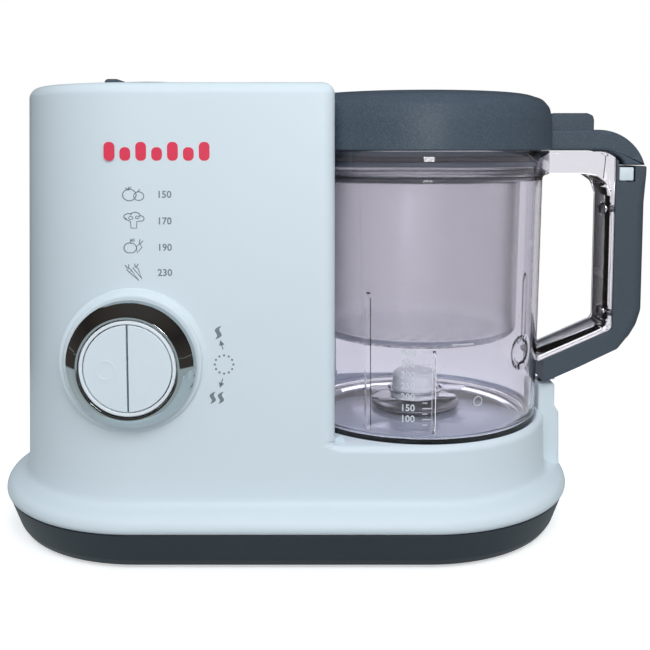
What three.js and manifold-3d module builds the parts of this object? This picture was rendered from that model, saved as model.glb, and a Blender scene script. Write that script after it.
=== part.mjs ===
import * as THREE from 'three';
import { mergeVertices } from 'three/addons/utils/BufferGeometryUtils.js';
import Module from 'manifold-3d';

const wasm = await Module();
wasm.setup();

// Driving dimensions, millimetres. X runs from the tower to the handle, Z is up, the table is Z = 0.
const jarX = 65.5;
const towerX = -65.5;
const flangeR = 76;
const wallLowR = 65.3;
const wallLowZ = 30;
const towerTopR = 60.6;
const towerTopZ = 215.8;
const towerEdgeR = 5.5;
const towerRightX = 23.5;
const shellWall = 2.6;
const trayBottomZ = 1.6;
const trayFloor = 3.4;
const trayTopZ = 18.6;
const trayTopR = 75;
const seamGap = 0.3;
const deckZ = 54.5;
const seatZ = 51.5;
const seatR = 61.2;
const recessGap = 2.1;
const wellR = 16;
const wellZ = 41;
const postTopZ = 68;
const knobZ = 92.6;
const ringR = 28.6;
const collarFaceY = -66.2;
const collarR = 30.5;
const tankR = 34;
const capR = 36.9;
const capSeatDrop = 3.2;
const capTabRise = 5.4;
const jarLowR = 60.3;
const jarTopR = 62;
const jarWall = 2.3;
const jarStepZ = 174.9;
const collarOutR = 65.3;
const collarTopZ = 185.7;
const basketR = 51.4;
const basketFloorZ = 95;
const lidOver = 1.1;
const lidTopZ = 213.9;
const lidWall = 2.5;
const handleHalf = 13.5;
const gripInX = 159.5;
const gripOutX = 177.5;
const lining = 2.5;
const coverWall = 2.2;
const armOutX = 177.5;
const clearance = 0.3;
const portZ = 198;
const shaftR = 3;
const rodTravel = 3;

// What follows from the sizes above: the lid covers the jar's collar, the recess clears the lid, the cap sits in the tower's top.
const lidR = collarOutR + lidOver;
const recessR = lidR + recessGap;
const portX = jarX - recessR;
const capSeatZ = towerTopZ - capSeatDrop;
const capTabTopZ = towerTopZ + capTabRise;
const overAllZ = towerTopZ + lidTopZ;

// The origin is the middle of the whole box, on the table.
const centreX = (armOutX - (jarX + flangeR)) / 2;
const bigRound = 32;
const smallRound = 16;
const tinyRound = 8;

const wallR = (z) => wallLowR + ((towerTopR - wallLowR) * (z - wallLowZ)) / (towerTopZ - wallLowZ);
const jarR = (z) => jarLowR + ((jarTopR - jarLowR) * (z - 53)) / (jarStepZ - 53);

function solidFrom(geometry) {
  const bare = geometry.clone();
  bare.deleteAttribute('normal');
  bare.deleteAttribute('uv');
  const welded = mergeVertices(bare, 1e-4);
  const spots = welded.attributes.position.array;
  const index = welded.index.array;
  const triangles = [];
  let volume = 0;
  for (let i = 0; i < index.length; i += 3) {
    const corners = [index[i], index[i + 1], index[i + 2]];
    if (new Set(corners).size < 3) continue;
    triangles.push(...corners);
    const [a, b, c] = corners.map((k) => new THREE.Vector3().fromArray(spots, k * 3));
    volume += a.dot(b.cross(c));
  }
  if (volume < 0) triangles.reverse();
  return new wasm.Manifold(
    new wasm.Mesh({
      numProp: 3,
      vertProperties: new Float32Array(spots),
      triVerts: new Uint32Array(triangles),
    }),
  );
}

// Turned solids: profile points are [radius, height]; a profile that leaves the axis closes on itself.
function turned(profile, segments, matrix) {
  const closed = profile[0][0] > 0 || profile.at(-1)[0] > 0;
  const points = closed ? [...profile, profile[0]] : profile;
  const geometry = new THREE.LatheGeometry(points.map(([r, z]) => new THREE.Vector2(r, z)), segments);
  geometry.applyMatrix4(matrix);
  return solidFrom(geometry);
}

function turnedZ(x, y, profile, segments = bigRound) {
  const matrix = new THREE.Matrix4().makeRotationX(Math.PI / 2).setPosition(x, y, 0);
  return turned(profile, segments, matrix);
}

function turnedY(x, z, profile, segments = bigRound) {
  return turned(profile, segments, new THREE.Matrix4().makeTranslation(x, 0, z));
}

function turnedX(y, z, profile, segments = smallRound) {
  const matrix = new THREE.Matrix4().makeRotationZ(-Math.PI / 2).setPosition(0, y, z);
  return turned(profile, segments, matrix);
}

const discZ = (x, y, r, z0, z1, segments = smallRound) =>
  turnedZ(x, y, [[0, z0], [r, z0], [r, z1], [0, z1]], segments);
const discY = (x, z, r, y0, y1, segments = smallRound) =>
  turnedY(x, z, [[0, y0], [r, y0], [r, y1], [0, y1]], segments);
const discX = (y, z, r, x0, x1, segments = smallRound) =>
  turnedX(y, z, [[0, x0], [r, x0], [r, x1], [0, x1]], segments);
const ringZ = (x, y, rIn, rOut, z0, z1, segments = smallRound) =>
  turnedZ(x, y, [[rIn, z0], [rOut, z0], [rOut, z1], [rIn, z1]], segments);

function block(x0, x1, y0, y1, z0, z1) {
  const geometry = new THREE.BoxGeometry(x1 - x0, y1 - y0, z1 - z0);
  geometry.translate((x0 + x1) / 2, (y0 + y1) / 2, (z0 + z1) / 2);
  return solidFrom(geometry);
}

function outline(points) {
  return new THREE.Shape(points.map(([u, v]) => new THREE.Vector2(u, v)));
}

// A shape drawn in X and Z, drawn out along Y.
function slabY(shape, y0, y1) {
  const geometry = new THREE.ExtrudeGeometry(shape, { depth: y1 - y0, bevelEnabled: false, curveSegments: 8 });
  geometry.rotateX(Math.PI / 2);
  geometry.translate(0, y1, 0);
  return solidFrom(geometry);
}

// A shape drawn in X and Y, drawn out along Z.
function slabZ(shape, z0, z1) {
  const geometry = new THREE.ExtrudeGeometry(shape, { depth: z1 - z0, bevelEnabled: false, curveSegments: 8 });
  geometry.translate(0, 0, z0);
  return solidFrom(geometry);
}

// A half profile mirrored about the middle plane and drawn out along X.
function slabX(profile, x0, x1) {
  const other = profile.filter(([r]) => r > 0).map(([r, z]) => [-r, z]);
  const shape = outline([...profile, ...other.reverse()]);
  const geometry = new THREE.ExtrudeGeometry(shape, { depth: x1 - x0, bevelEnabled: false });
  const basis = new THREE.Matrix4().makeBasis(
    new THREE.Vector3(0, 1, 0),
    new THREE.Vector3(0, 0, 1),
    new THREE.Vector3(1, 0, 0),
  );
  geometry.applyMatrix4(basis.setPosition(x0, 0, 0));
  return solidFrom(geometry);
}

// The long rounded plan of the base: two turned ends with the same profile between them.
function stadium(profile) {
  return turnedZ(towerX, 0, profile).add(turnedZ(jarX, 0, profile)).add(slabX(profile, towerX, jarX));
}

function swept(points, radius, steps, closed = false) {
  const path = new THREE.CatmullRomCurve3(points.map((p) => new THREE.Vector3(...p)), closed);
  const ring = new THREE.Shape();
  ring.absarc(0, 0, radius, 0, Math.PI * 2, false);
  const geometry = new THREE.ExtrudeGeometry(ring, { steps, extrudePath: path, curveSegments: radius > 1 ? 4 : 3 });
  return solidFrom(geometry);
}

// Coil springs are open wires wound round an axis through the centre.
function coil(centre, axis, radius, length, turns, wire, perTurn = 8) {
  const along = new THREE.Vector3(...axis);
  const side = new THREE.Vector3(axis[2], axis[0], axis[1]);
  const other = new THREE.Vector3().crossVectors(along, side);
  const points = [];
  for (let i = 0; i <= turns * perTurn; i += 1) {
    const angle = (i / perTurn) * Math.PI * 2;
    const spot = new THREE.Vector3(...centre)
      .addScaledVector(side, radius * Math.cos(angle))
      .addScaledVector(other, radius * Math.sin(angle))
      .addScaledVector(along, (length * i) / (turns * perTurn));
    points.push(spot.toArray());
  }
  return swept(points, wire, points.length - 1);
}

const looks = {
  white: { color: 0xdfe6e8, roughness: 0.32, metalness: 0 },
  dark: { color: 0x39434c, roughness: 0.42, metalness: 0 },
  black: { color: 0x1b1e22, roughness: 0.6, metalness: 0 },
  rubber: { color: 0x26292d, roughness: 0.85, metalness: 0 },
  chrome: { color: 0xc9ced2, roughness: 0.12, metalness: 1 },
  steel: { color: 0xb5babd, roughness: 0.3, metalness: 1 },
  aluminium: { color: 0xc4c8cb, roughness: 0.45, metalness: 1 },
  copper: { color: 0xb0683c, roughness: 0.4, metalness: 1 },
  board: { color: 0x24543a, roughness: 0.6, metalness: 0 },
  clear: { color: 0xdcdde8, roughness: 0.08, metalness: 0, transparent: true, opacity: 0.35 },
};

const maker = new THREE.Group();
maker.name = 'baby_food_maker';

function addPart(name, solid, look) {
  const { vertProperties, triVerts } = solid.getMesh();
  const geometry = new THREE.BufferGeometry();
  geometry.setAttribute('position', new THREE.BufferAttribute(new Float32Array(vertProperties), 3));
  geometry.setIndex(new THREE.BufferAttribute(new Uint32Array(triVerts), 1));
  geometry.translate(-centreX, 0, 0);
  geometry.computeVertexNormals();
  const mesh = new THREE.Mesh(geometry, new THREE.MeshStandardMaterial(looks[look]));
  mesh.name = name;
  maker.add(mesh);
}

const footAngle = (50 * Math.PI) / 180;
const footSpots = [-1, 1].flatMap((end) =>
  [-1, 1].map((side) => [end * (jarX + 58 * Math.cos(footAngle)), side * 58 * Math.sin(footAngle)]),
);
const screwSpots = [-1, 1].flatMap((end) => [-1, 1].map((side) => [end * 50, side * 64]));
const glandX = -25;
const glandZ = 11.5;

function makeTray() {
  const outer = [[0, trayBottomZ], [67.5, trayBottomZ], [69.3, 3.4], [trayTopR, trayTopZ], [0, trayTopZ]];
  const inner = [[0, trayBottomZ + trayFloor], [66.5, trayBottomZ + trayFloor], [72.4, trayTopZ + 1], [0, trayTopZ + 1]];
  let tray = stadium(outer).subtract(stadium(inner));
  for (const [x, y] of footSpots) tray = tray.subtract(discZ(x, y, 8.3, 0, 3.3));
  for (const [x, y] of screwSpots) {
    tray = tray.subtract(discZ(x, y, 3.4, 0, 3.4, tinyRound)).subtract(discZ(x, y, 1.8, 0, 7, tinyRound));
  }
  tray = tray.add(ringZ(jarX, 0, 8 + clearance, 10.6, 4.5, 9.4));
  for (let i = -3; i <= 3; i += 1) tray = tray.subtract(block(jarX + i * 6 - 1.2, jarX + i * 6 + 1.2, 16, 34, 0, 6));
  tray = tray.subtract(discY(glandX, glandZ, 6.8, 72.2, 80)).subtract(discY(glandX, glandZ, 5, 60, 80));
  return tray;
}

function makeFoot([x, y]) {
  return turnedZ(x, y, [[0, 0], [7.2, 0], [8, 0.8], [8, 3], [0, 3]], smallRound);
}

function makeBaseScrew([x, y]) {
  return discZ(x, y, 3.1, 1.9, 3.1, tinyRound).add(discZ(x, y, 1.5, 3, 18, tinyRound));
}

// The tower's outline from above: flat right face, rounded front and back corners.
function towerPlan(rightX) {
  const corner = [[rightX, 54], [rightX - 0.3, 57.5], [rightX - 1.5, 60.5], [rightX - 3.5, 62.8], [rightX - 6.5, 64.7], [rightX - 11, 66.4]];
  const back = corner.map(([x, y]) => [x, y]);
  const front = corner.map(([x, y]) => [x, -y]).reverse();
  return outline([...back, [-140, 70], [-140, -70], ...front]);
}

function makeHousing() {
  const lowOuter = [[0, trayTopZ + seamGap], [74.9, trayTopZ + seamGap], [flangeR, 21], [75.6, 23.5], [74, 25.6], [71.5, 26.7],
    [67, 27.6], [65.7, 28.6], [wallLowR, wallLowZ], [wallR(51.5), 51.5], [63.8, 53.7], [62.3, deckZ], [0, deckZ]];
  const lowInner = [[0, 10], [72.4, 10], [73, 21.2], [71.2, 23.8], [62.7, 27], [wallR(48.9) - shellWall, seatZ - shellWall],
    [0, seatZ - shellWall]];
  const edgeZ = towerTopZ - towerEdgeR;
  const topR = wallR(edgeZ);
  const highOuter = [[0, 40], [wallR(40), 40], [topR, edgeZ], [topR - 0.8, edgeZ + 2.9], [topR - 2.7, edgeZ + 4.8],
    [topR - towerEdgeR, towerTopZ], [0, towerTopZ]];
  const highInner = [[0, 45], [wallR(45) - shellWall, 45], [topR - shellWall, edgeZ], [topR - towerEdgeR, towerTopZ - shellWall],
    [0, towerTopZ - shellWall]];
  const plan = slabZ(towerPlan(towerRightX), 0, overAllZ);
  const planInner = slabZ(towerPlan(towerRightX - shellWall), 0, overAllZ);
  let shell = stadium(lowOuter).add(stadium(highOuter).intersect(plan));
  shell = shell.subtract(discZ(jarX, 0, recessR, deckZ, overAllZ, bigRound));
  shell = shell.subtract(discZ(jarX, 0, seatR, seatZ, 60, bigRound));
  let hollow = stadium(lowInner);
  const high = stadium(highInner).intersect(planInner).subtract(discZ(jarX, 0, recessR + shellWall, 0, overAllZ, bigRound));
  hollow = hollow.add(high);
  shell = shell.subtract(hollow);
  // The well in the deck where the two couplings meet.
  shell = shell.add(discZ(jarX, 0, wellR + shellWall, wellZ - 2.4, seatZ - 1));
  shell = shell.subtract(discZ(jarX, 0, wellR, wellZ, 60)).subtract(discZ(jarX, 0, 5, 30, 60));
  // The knob's collar and its bore.
  shell = shell.add(discY(towerX, knobZ, collarR, collarFaceY, -52, bigRound));
  shell = shell.subtract(discY(towerX, knobZ, 24, -80, -40, bigRound));
  shell = shell.subtract(discZ(towerX, 0, capR + 0.6, capSeatZ - 7.6, overAllZ, bigRound));
  shell = shell.subtract(discX(0, portZ, 5.3, portX - 9, portX + 7));
  for (const [x, y] of screwSpots) {
    shell = shell.add(discZ(x, y, 3.8, 9.6, 27, tinyRound)).subtract(discZ(x, y, 1.8, 0, 19, tinyRound));
  }
  for (let i = 0; i < 4; i += 1) shell = shell.subtract(block(-90, -50, 40, 80, 60 + i * 7, 62.6 + i * 7));
  // The post that takes the interlock's foot, over the switch.
  const post = block(127.3, 136, -8, 8, 30, postTopZ).add(block(127.3, 138.2, -9, 9, 24.5, 55));
  const channel = block(128.6, 134, -3.2, 3.2, 10, 80);
  return shell.add(post).subtract(channel);
}

function makeGland() {
  return turnedY(glandX, glandZ, [[3.4, 68], [4.7, 68], [4.7, 72.4], [6.5, 72.5], [6.5, 73.6], [5.6, 74.4], [3.4, 74.4]], smallRound);
}

const pipeZ = 190;

function addBoiler() {
  const tank = [[tankR - 6, 125], [tankR, 125], [tankR, capSeatZ - 6.6], [capR - 0.4, capSeatZ - 4.6], [capR - 0.4, capSeatZ],
    [tankR + 0.6, capSeatZ], [tankR + 0.6, capSeatZ - 3.6], [tankR - 2, capSeatZ - 6.1], [tankR - 2, 127], [tankR - 6, 127]];
  const outletHole = discX(0, pipeZ, 2.4, towerX + tankR - 4, towerX + tankR + 2, tinyRound);
  addPart('boiler_tank', turnedZ(towerX, 0, tank).subtract(outletHole), 'steel');
  addPart('boiler_seal', ringZ(towerX, 0, tankR - 6, tankR - 0.5, 123.3, 124.7), 'rubber');
  addPart('heating_plate', discZ(towerX, 0, tankR - 0.5, 119.5, 123), 'aluminium');
  addPart('heater_element', ringZ(towerX, 0, tankR - 15, tankR - 9, 113.6, 119.2), 'steel');
  addPart('thermostat', discZ(towerX, 0, 7, 112.6, 119.2), 'black');
  const sideX = towerX + tankR + 3.1;
  const along = (share) => sideX + (portX - 6.2 - sideX) * share;
  const bend = [[sideX, 0, pipeZ], [along(0.4375), 0, (pipeZ + portZ) / 2], [along(0.854), 0, portZ]];
  const outside = swept([[towerX + tankR + 0.8, 0, pipeZ], ...bend, [portX - 6.2, 0, portZ]], 4, 10);
  const bore = swept([[towerX + tankR + 0.4, 0, pipeZ], ...bend, [portX - 5.9, 0, portZ]], 2.6, 10);
  addPart('steam_pipe', outside.subtract(bore), 'rubber');
  addPart('steam_outlet', turnedX(0, portZ, [[2.8, portX - 5.6], [5, portX - 5.6], [5, portX + 0.8], [2.8, portX + 0.8]]), 'dark');
}

function makeCap() {
  const neckR = tankR - 1.4;
  const profile = [[0, capSeatZ], [neckR - 2.2, capSeatZ], [neckR - 2.2, capSeatZ - 4.8], [neckR, capSeatZ - 4.8],
    [neckR, capSeatZ + 0.8], [capR, capSeatZ + 1.2], [capR, capSeatZ + 2.8], [capR - 1.5, capSeatZ + 4], [capR - 6.9, capSeatZ + 5.2],
    [capR - 16.9, capSeatZ + 6], [0, capSeatZ + 6.4]];
  const tabX = towerX - capR;
  const side = outline([[tabX - 6.2, capSeatZ + 3.6], [tabX - 6.2, capTabTopZ - 0.8], [tabX - 5.4, capTabTopZ],
    [tabX + 0.9, capTabTopZ], [tabX + 10.4, capSeatZ + 4.8], [tabX + 10.4, capSeatZ + 3.6]]);
  return turnedZ(towerX, 0, profile).add(slabY(side, -8, 8));
}

function addControls() {
  const ring = [[23.4, -66.9], [ringR, -66.9], [ringR, -68.8], [27.9, -70], [23.4, -75.3], [22.4, -76], [21.5, -75.8],
    [21.5, -73.8], [23.4, -73.2]];
  addPart('speed_ring', turnedY(towerX, knobZ, ring), 'chrome');
  addPart('ring_carrier', turnedY(towerX, knobZ, [[21.3, -72.9], [23.1, -72.9], [23.1, -46.5], [21.3, -46.5]]), 'dark');
  addPart('button_bezel', turnedY(towerX, knobZ, [[19.4, -76], [20.9, -76], [20.9, -46.2], [19.4, -46.2]]), 'white');
  addPart('ring_return_spring', coil([towerX, -51, knobZ], [0, 1, 0], 25.3, 4, 2, 0.5, 14), 'steel');
  for (const [name, sign] of [['off', -1], ['on', 1]]) {
    const face = new THREE.Shape();
    face.absarc(0, 0, 19, -Math.PI / 2, Math.PI / 2, false);
    const half = new THREE.ExtrudeGeometry(face, { depth: 4, bevelEnabled: false, curveSegments: 20 });
    half.rotateX(Math.PI / 2);
    half.rotateY(sign > 0 ? 0 : Math.PI);
    half.translate(towerX, -71.7, knobZ);
    const keep = block(sign > 0 ? towerX + 0.35 : towerX - 22, sign > 0 ? towerX + 22 : towerX - 0.35, -80, -50, 60, 120);
    const stem = discY(towerX + sign * 9, knobZ, 2.6, -74, -60.5, tinyRound);
    addPart(`${name}_button`, solidFrom(half).intersect(keep).add(stem), 'white');
    addPart(`${name}_spring`, coil([towerX + sign * 9, -71, knobZ], [0, 1, 0], 4.2, 7.4, 4, 0.4), 'steel');
  }
  let switchBlock = discY(towerX, knobZ, 18.9, -63, -51);
  for (const sign of [-1, 1]) switchBlock = switchBlock.subtract(discY(towerX + sign * 9, knobZ, 3.2, -70, -57, tinyRound));
  addPart('button_switches', switchBlock, 'black');
  addPart('rotary_switch', discY(towerX, knobZ, 23, -45.6, -38.6), 'black');
  addPart('control_board', block(-105, -26, -37.8, -36.2, 62, 112), 'board');
}

function addDrive() {
  const mount = [[8 + clearance, 34.6], [8 + clearance, 37.4], [33, 37.4], [33, 5.4], [31.6, 5.4], [31.6, 34.6]];
  addPart('motor_mount', turnedZ(jarX, 0, mount), 'steel');
  addPart('motor_stator', ringZ(jarX, 0, 19, 31.2, 15.5, 32.5), 'copper');
  addPart('motor_rotor', ringZ(jarX, 0, shaftR + clearance, 18.4, 15.5, 32.5), 'steel');
  addPart('motor_shaft', discZ(jarX, 0, shaftR, 5.6, 43.6), 'steel');
  let fan = ringZ(jarX, 0, shaftR + clearance, 8, 10, 14);
  for (let i = 0; i < 6; i += 1) {
    const blade = new THREE.BoxGeometry(21, 1.2, 4);
    blade.translate(17, 0, 0);
    blade.rotateX(0.5);
    blade.rotateZ((i * Math.PI) / 3);
    blade.translate(jarX, 0, 12);
    fan = fan.add(solidFrom(blade));
  }
  fan = fan.subtract(discZ(jarX, 0, shaftR + clearance, 0, 20));
  addPart('cooling_fan', fan, 'black');
  addPart('upper_bearing', ringZ(jarX, 0, shaftR + clearance, 8, 33.2, 37.2), 'steel');
  addPart('lower_bearing', ringZ(jarX, 0, shaftR + clearance, 8, 5.3, 9.3), 'steel');
  addPart('spill_seal', ringZ(jarX, 0, shaftR + clearance, 4.7, 38.8, 41.2), 'rubber');
  const socket = discZ(jarX, 0, 6.1, 45.4, 60, 6);
  const bore = discZ(jarX, 0, shaftR + clearance, 40, 43.9);
  addPart('drive_coupling', discZ(jarX, 0, 9.5, 42, 50).subtract(socket).subtract(bore), 'black');
}

// The handle's corner is one arc shared by the lid's arm, the lining and the cover.
const cornerX = 153.5;
const cornerZ = 172;
const armTopR = armOutX - cornerX;
const armGap = 0.5;
// The arm's end swings this much nearer the lining as the lid twists.
const armSwing = 1.3;
const liningTopR = 13.3;
const lowSlope = 0.45;
const lowTopZ = (x) => 84.3 + lowSlope * (x - 127.5);

function arcPoints(radius, from, to, count, shift = 0) {
  const points = [];
  for (let i = 0; i <= count; i += 1) {
    const angle = ((from + ((to - from) * i) / count) * Math.PI) / 180;
    points.push([cornerX + shift + radius * Math.cos(angle), cornerZ + radius * Math.sin(angle)]);
  }
  return points;
}

const screwHeights = [104.1, 156.6];

function makeJar() {
  const profile = [[14.5, 52.6], [55, 52.6], [56.5, 51.8], [59.6, 51.8], [jarLowR, 53], [jarR(172), 172], [collarOutR, 174.4],
    [collarOutR, collarTopZ], [collarOutR - 2.1, collarTopZ], [collarOutR - 2.1, jarStepZ], [jarR(173) - jarWall, jarStepZ], [jarR(60) - jarWall, 60],
    [jarR(56) - jarWall - 2, 56], [54, 55.4], [14.5, 55.4]];
  const outer = [[128.9, 174.4], [148, 174.4], [154, 173], [158, 169.6], [gripInX, 164], [gripInX, lowTopZ(gripInX)],
    [125.4, lowTopZ(125.4)], [125.4, lowTopZ(125.4) - 2.8], [gripInX + lining, lowTopZ(gripInX + lining) - 2.8],
    [gripInX + lining, 182.2], ...arcPoints(liningTopR, 50.3, 90, 4), [128.9, cornerZ + liningTopR]];
  let jar = turnedZ(jarX, 0, profile).add(slabY(outline(outer), -handleHalf, handleHalf));
  jar = jar.subtract(discZ(jarX, 0, jarR(100) - jarWall, 70, 110, bigRound));
  for (const z of screwHeights) {
    jar = jar.subtract(discX(0, z, 3.4, 150, gripInX + 1.2, tinyRound)).subtract(discX(0, z, 1.8, 150, 170, tinyRound));
  }
  return jar;
}

function makeCover() {
  const joinX = gripInX + lining + clearance;
  const joinZ = (x) => lowTopZ(x) - 2.8 - clearance;
  const bottomZ = (x) => 69.6 + lowSlope * (x - 128);
  const outer = [[128, joinZ(128)], [joinX, joinZ(joinX)], [joinX, 181.6], ...arcPoints(liningTopR, 44, 28.3, 2),
    [gripOutX, 178.3], [gripOutX, 106], [175.6, 99], [171.6, 91.6], [166, 87], [128, bottomZ(128)]];
  const inner = [[128, joinZ(128) + 1], [joinX - 1, joinZ(joinX)], [joinX - 1, 176], [gripOutX - coverWall, 176],
    [gripOutX - coverWall, 107], [173, 100.4], [169.6, 93.8], [165, 89.4], [130.4, bottomZ(130.4) + 2.5], [130.4, 76]];
  let cover = slabY(outline(outer), -handleHalf, handleHalf);
  cover = cover.subtract(slabY(outline(inner), -handleHalf + coverWall, handleHalf - coverWall));
  for (const z of screwHeights) {
    cover = cover.add(discX(0, z, 3.8, joinX, gripOutX - 1, tinyRound)).subtract(discX(0, z, 1.8, 150, 173, tinyRound));
  }
  cover = cover.add(block(joinX, gripOutX - 1, -3.4, handleHalf - 1, 121.2, 125.2));
  cover = cover.subtract(block(163.4, 171.7, -20, -6.2, 170.6, 190));
  return cover.subtract(block(129.2, 136.2, -9.9, 3.6, 60, 82));
}

function makeHandleScrew(z) {
  return discX(0, z, 3.1, gripInX - 0.7, gripInX + 0.9, tinyRound).add(discX(0, z, 1.5, gripInX + 0.8, 171.6, tinyRound));
}

function makeRod() {
  const head = block(164, 171, -13.2, -6.8, 171, 177.6);
  const stem = block(165.4, 168.6, -9.6, -5.2, 97.5, 172);
  const legZ = (x) => lowTopZ(x) - lining - clearance - rodTravel - 0.5;
  const leg = outline([[168.6, 96.4], [168.6, 100], [165.4, 100], [165.4, legZ(165.4)], [129.9, legZ(129.9)],
    [129.9, legZ(129.9) - 3.2], [164, legZ(164) - 3.2]]);
  const foot = block(129.9, 135.5, -9.6, 2.8, 70.4, 78);
  const tab = block(163.4, 168.6, -9.6, 3.6, 134.4, 137);
  return head.add(stem).add(slabY(leg, -9.6, -5.2)).add(foot).add(tab);
}

function makeBasket() {
  const low = basketFloorZ;
  const profile = [[0, low], [48, low], [50.2, low + 2.2], [basketR, 172], [56, 175.2], [62.8, 175.2], [62.8, 177.2], [55.2, 177.2],
    [basketR - 2, 173.2], [48.4, low + 3.4], [47.4, low + 2], [0, low + 2]];
  let basket = turnedZ(jarX, 0, profile);
  const rings = [[1, 0], [6, 14], [10, 28], [14, 41]];
  for (const [count, radius] of rings) {
    for (let i = 0; i < count; i += 1) {
      const angle = (i / count) * Math.PI * 2;
      const hole = discZ(jarX + radius * Math.cos(angle), radius * Math.sin(angle), 3, low - 2, low + 4, 6);
      basket = basket.subtract(hole);
    }
  }
  return basket;
}

const hubLowZ = 60.2;

function wing(x, y, sign, reach, z) {
  const shape = outline([[0, -4], [reach - 6, -4.5], [reach, 1], [reach - 4, 4], [0, 4.5]]);
  const geometry = new THREE.ExtrudeGeometry(shape, { depth: 1, bevelEnabled: false });
  if (sign < 0) geometry.rotateZ(Math.PI);
  geometry.translate(x, y, z);
  return solidFrom(geometry);
}

function makeBlade(z, rIn, rOut, reach) {
  const blade = ringZ(jarX, 0, rIn, rOut, z, z + 1).add(wing(jarX, 0, 1, reach, z)).add(wing(jarX, 0, -1, reach, z));
  return blade.subtract(discZ(jarX, 0, rIn, z - 2, z + 3));
}

function addJar() {
  addPart('jar', makeJar(), 'clear');
  const base = [[shaftR + clearance, 51.4], [14, 51.4], [14, 56.8], [22, 56.8], [23, 57.6], [21.4, 58.4], [shaftR + clearance, 58.4]];
  addPart('blade_base', turnedZ(jarX, 0, base), 'steel');
  addPart('blade_seal', ringZ(jarX, 0, 14.8, 21, 55.7, 56.5), 'rubber');
  addPart('blade_shaft', discZ(jarX, 0, shaftR, 48, 70), 'steel');
  const driven = discZ(jarX, 0, 5.7, 45.9, 51, 6).subtract(discZ(jarX, 0, shaftR + clearance, 47.7, 60));
  addPart('driven_coupling', driven, 'black');
  addPart('lower_blade', makeBlade(58.8, shaftR + clearance, 8, 22), 'steel');
  addPart('upper_blade', makeBlade(63.4, 11.8, 14, 27).subtract(discZ(jarX, 0, 11.8, 60, 70)), 'steel');
  const hub = [[0, 73.3], [9.5, 73.3], [11.4, 71.8], [11.4, 63.1], [12.4, 63.1], [12.4, hubLowZ], [shaftR + clearance, hubLowZ],
    [shaftR + clearance, 70.4], [0, 70.4]];
  addPart('blade_hub', turnedZ(jarX, 0, hub, smallRound), 'white');
  addPart('handle_cover', makeCover(), 'dark');
  screwHeights.forEach((z, i) => addPart(`handle_screw_${i + 1}`, makeHandleScrew(z), 'steel'));
  addPart('interlock_rod', makeRod(), 'white');
  addPart('interlock_spring', coil([166, 0, 125.9], [0, 0, 1], 2.2, 7.8, 4, 0.4), 'steel');
  addPart('steam_basket', makeBasket(), 'clear');
}

function makeLidShell() {
  const profile = [[0, lidTopZ - lidWall], [lidR - 12.4, lidTopZ - lidWall - 1.2], [lidR - 6.4, lidTopZ - 6], [lidR - lidWall, lidTopZ - 12.9],
    [lidR - lidWall, collarTopZ + 0.3], [lidR, collarTopZ + 0.3], [lidR, lidTopZ - 17.9], [lidR - 0.4, lidTopZ - 11.9],
    [lidR - 1.8, lidTopZ - 6.9], [lidR - 5.4, lidTopZ - 3.1], [lidR - 11.4, lidTopZ - 1.2], [lidR - 26.4, lidTopZ - 0.3], [0, lidTopZ]];
  const arm = outline([[129.4, 196], [cornerX, cornerZ + armTopR], ...arcPoints(armTopR, 84, 17, 6), [armTopR + cornerX - 0.9, 178.7],
    [cornerX + armSwing + 12.1, 178.7], ...arcPoints(liningTopR + armGap, 30, 90, 5, armSwing), [129.4, cornerZ + liningTopR + armGap]]);
  const tab = outline([[131, 195], [131, 204.4], [149.5, 204.4], [152, 203.4], [153, 201], [153, 195]]);
  const lid = turnedZ(jarX, 0, profile).add(slabY(arm, -handleHalf, handleHalf)).add(slabY(tab, -7, 7));
  return lid.subtract(discX(0, portZ, 3, portX - 7, portX + 13, tinyRound));
}

function addLid() {
  addPart('lid_shell', makeLidShell(), 'dark');
  const skirtR = collarOutR - 4.1;
  const inner = [[0, 197.6], [skirtR - 2, 197.6], [skirtR - 2, 178.4], [skirtR, 178.4], [skirtR, 200], [0, 200]];
  addPart('lid_inner', turnedZ(jarX, 0, inner), 'dark');
  addPart('lid_seal', ringZ(jarX, 0, skirtR + 0.5, skirtR + 1.7, 180.5, 183, bigRound), 'rubber');
}

addPart('base_tray', makeTray(), 'dark');
footSpots.forEach((spot, i) => addPart(`foot_${i + 1}`, makeFoot(spot), 'rubber'));
screwSpots.forEach((spot, i) => addPart(`base_screw_${i + 1}`, makeBaseScrew(spot), 'steel'));
addPart('main_housing', makeHousing(), 'white');
addPart('cord_gland', makeGland(), 'rubber');
addBoiler();
addPart('tank_cap', makeCap(), 'dark');
addPart('tank_cap_seal', ringZ(towerX, 0, tankR - 1.1, tankR + 0.2, capSeatZ - 3, capSeatZ - 1, bigRound), 'rubber');
addControls();
addDrive();
addJar();
addLid();
addPart('switch_plunger', block(129.6, 133.6, -2.8, 2.8, 23.4, 70), 'black');
addPart('micro_switch', block(115, 132, -4, 4, 9, 23), 'black');

export default maker;
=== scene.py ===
import math

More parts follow.
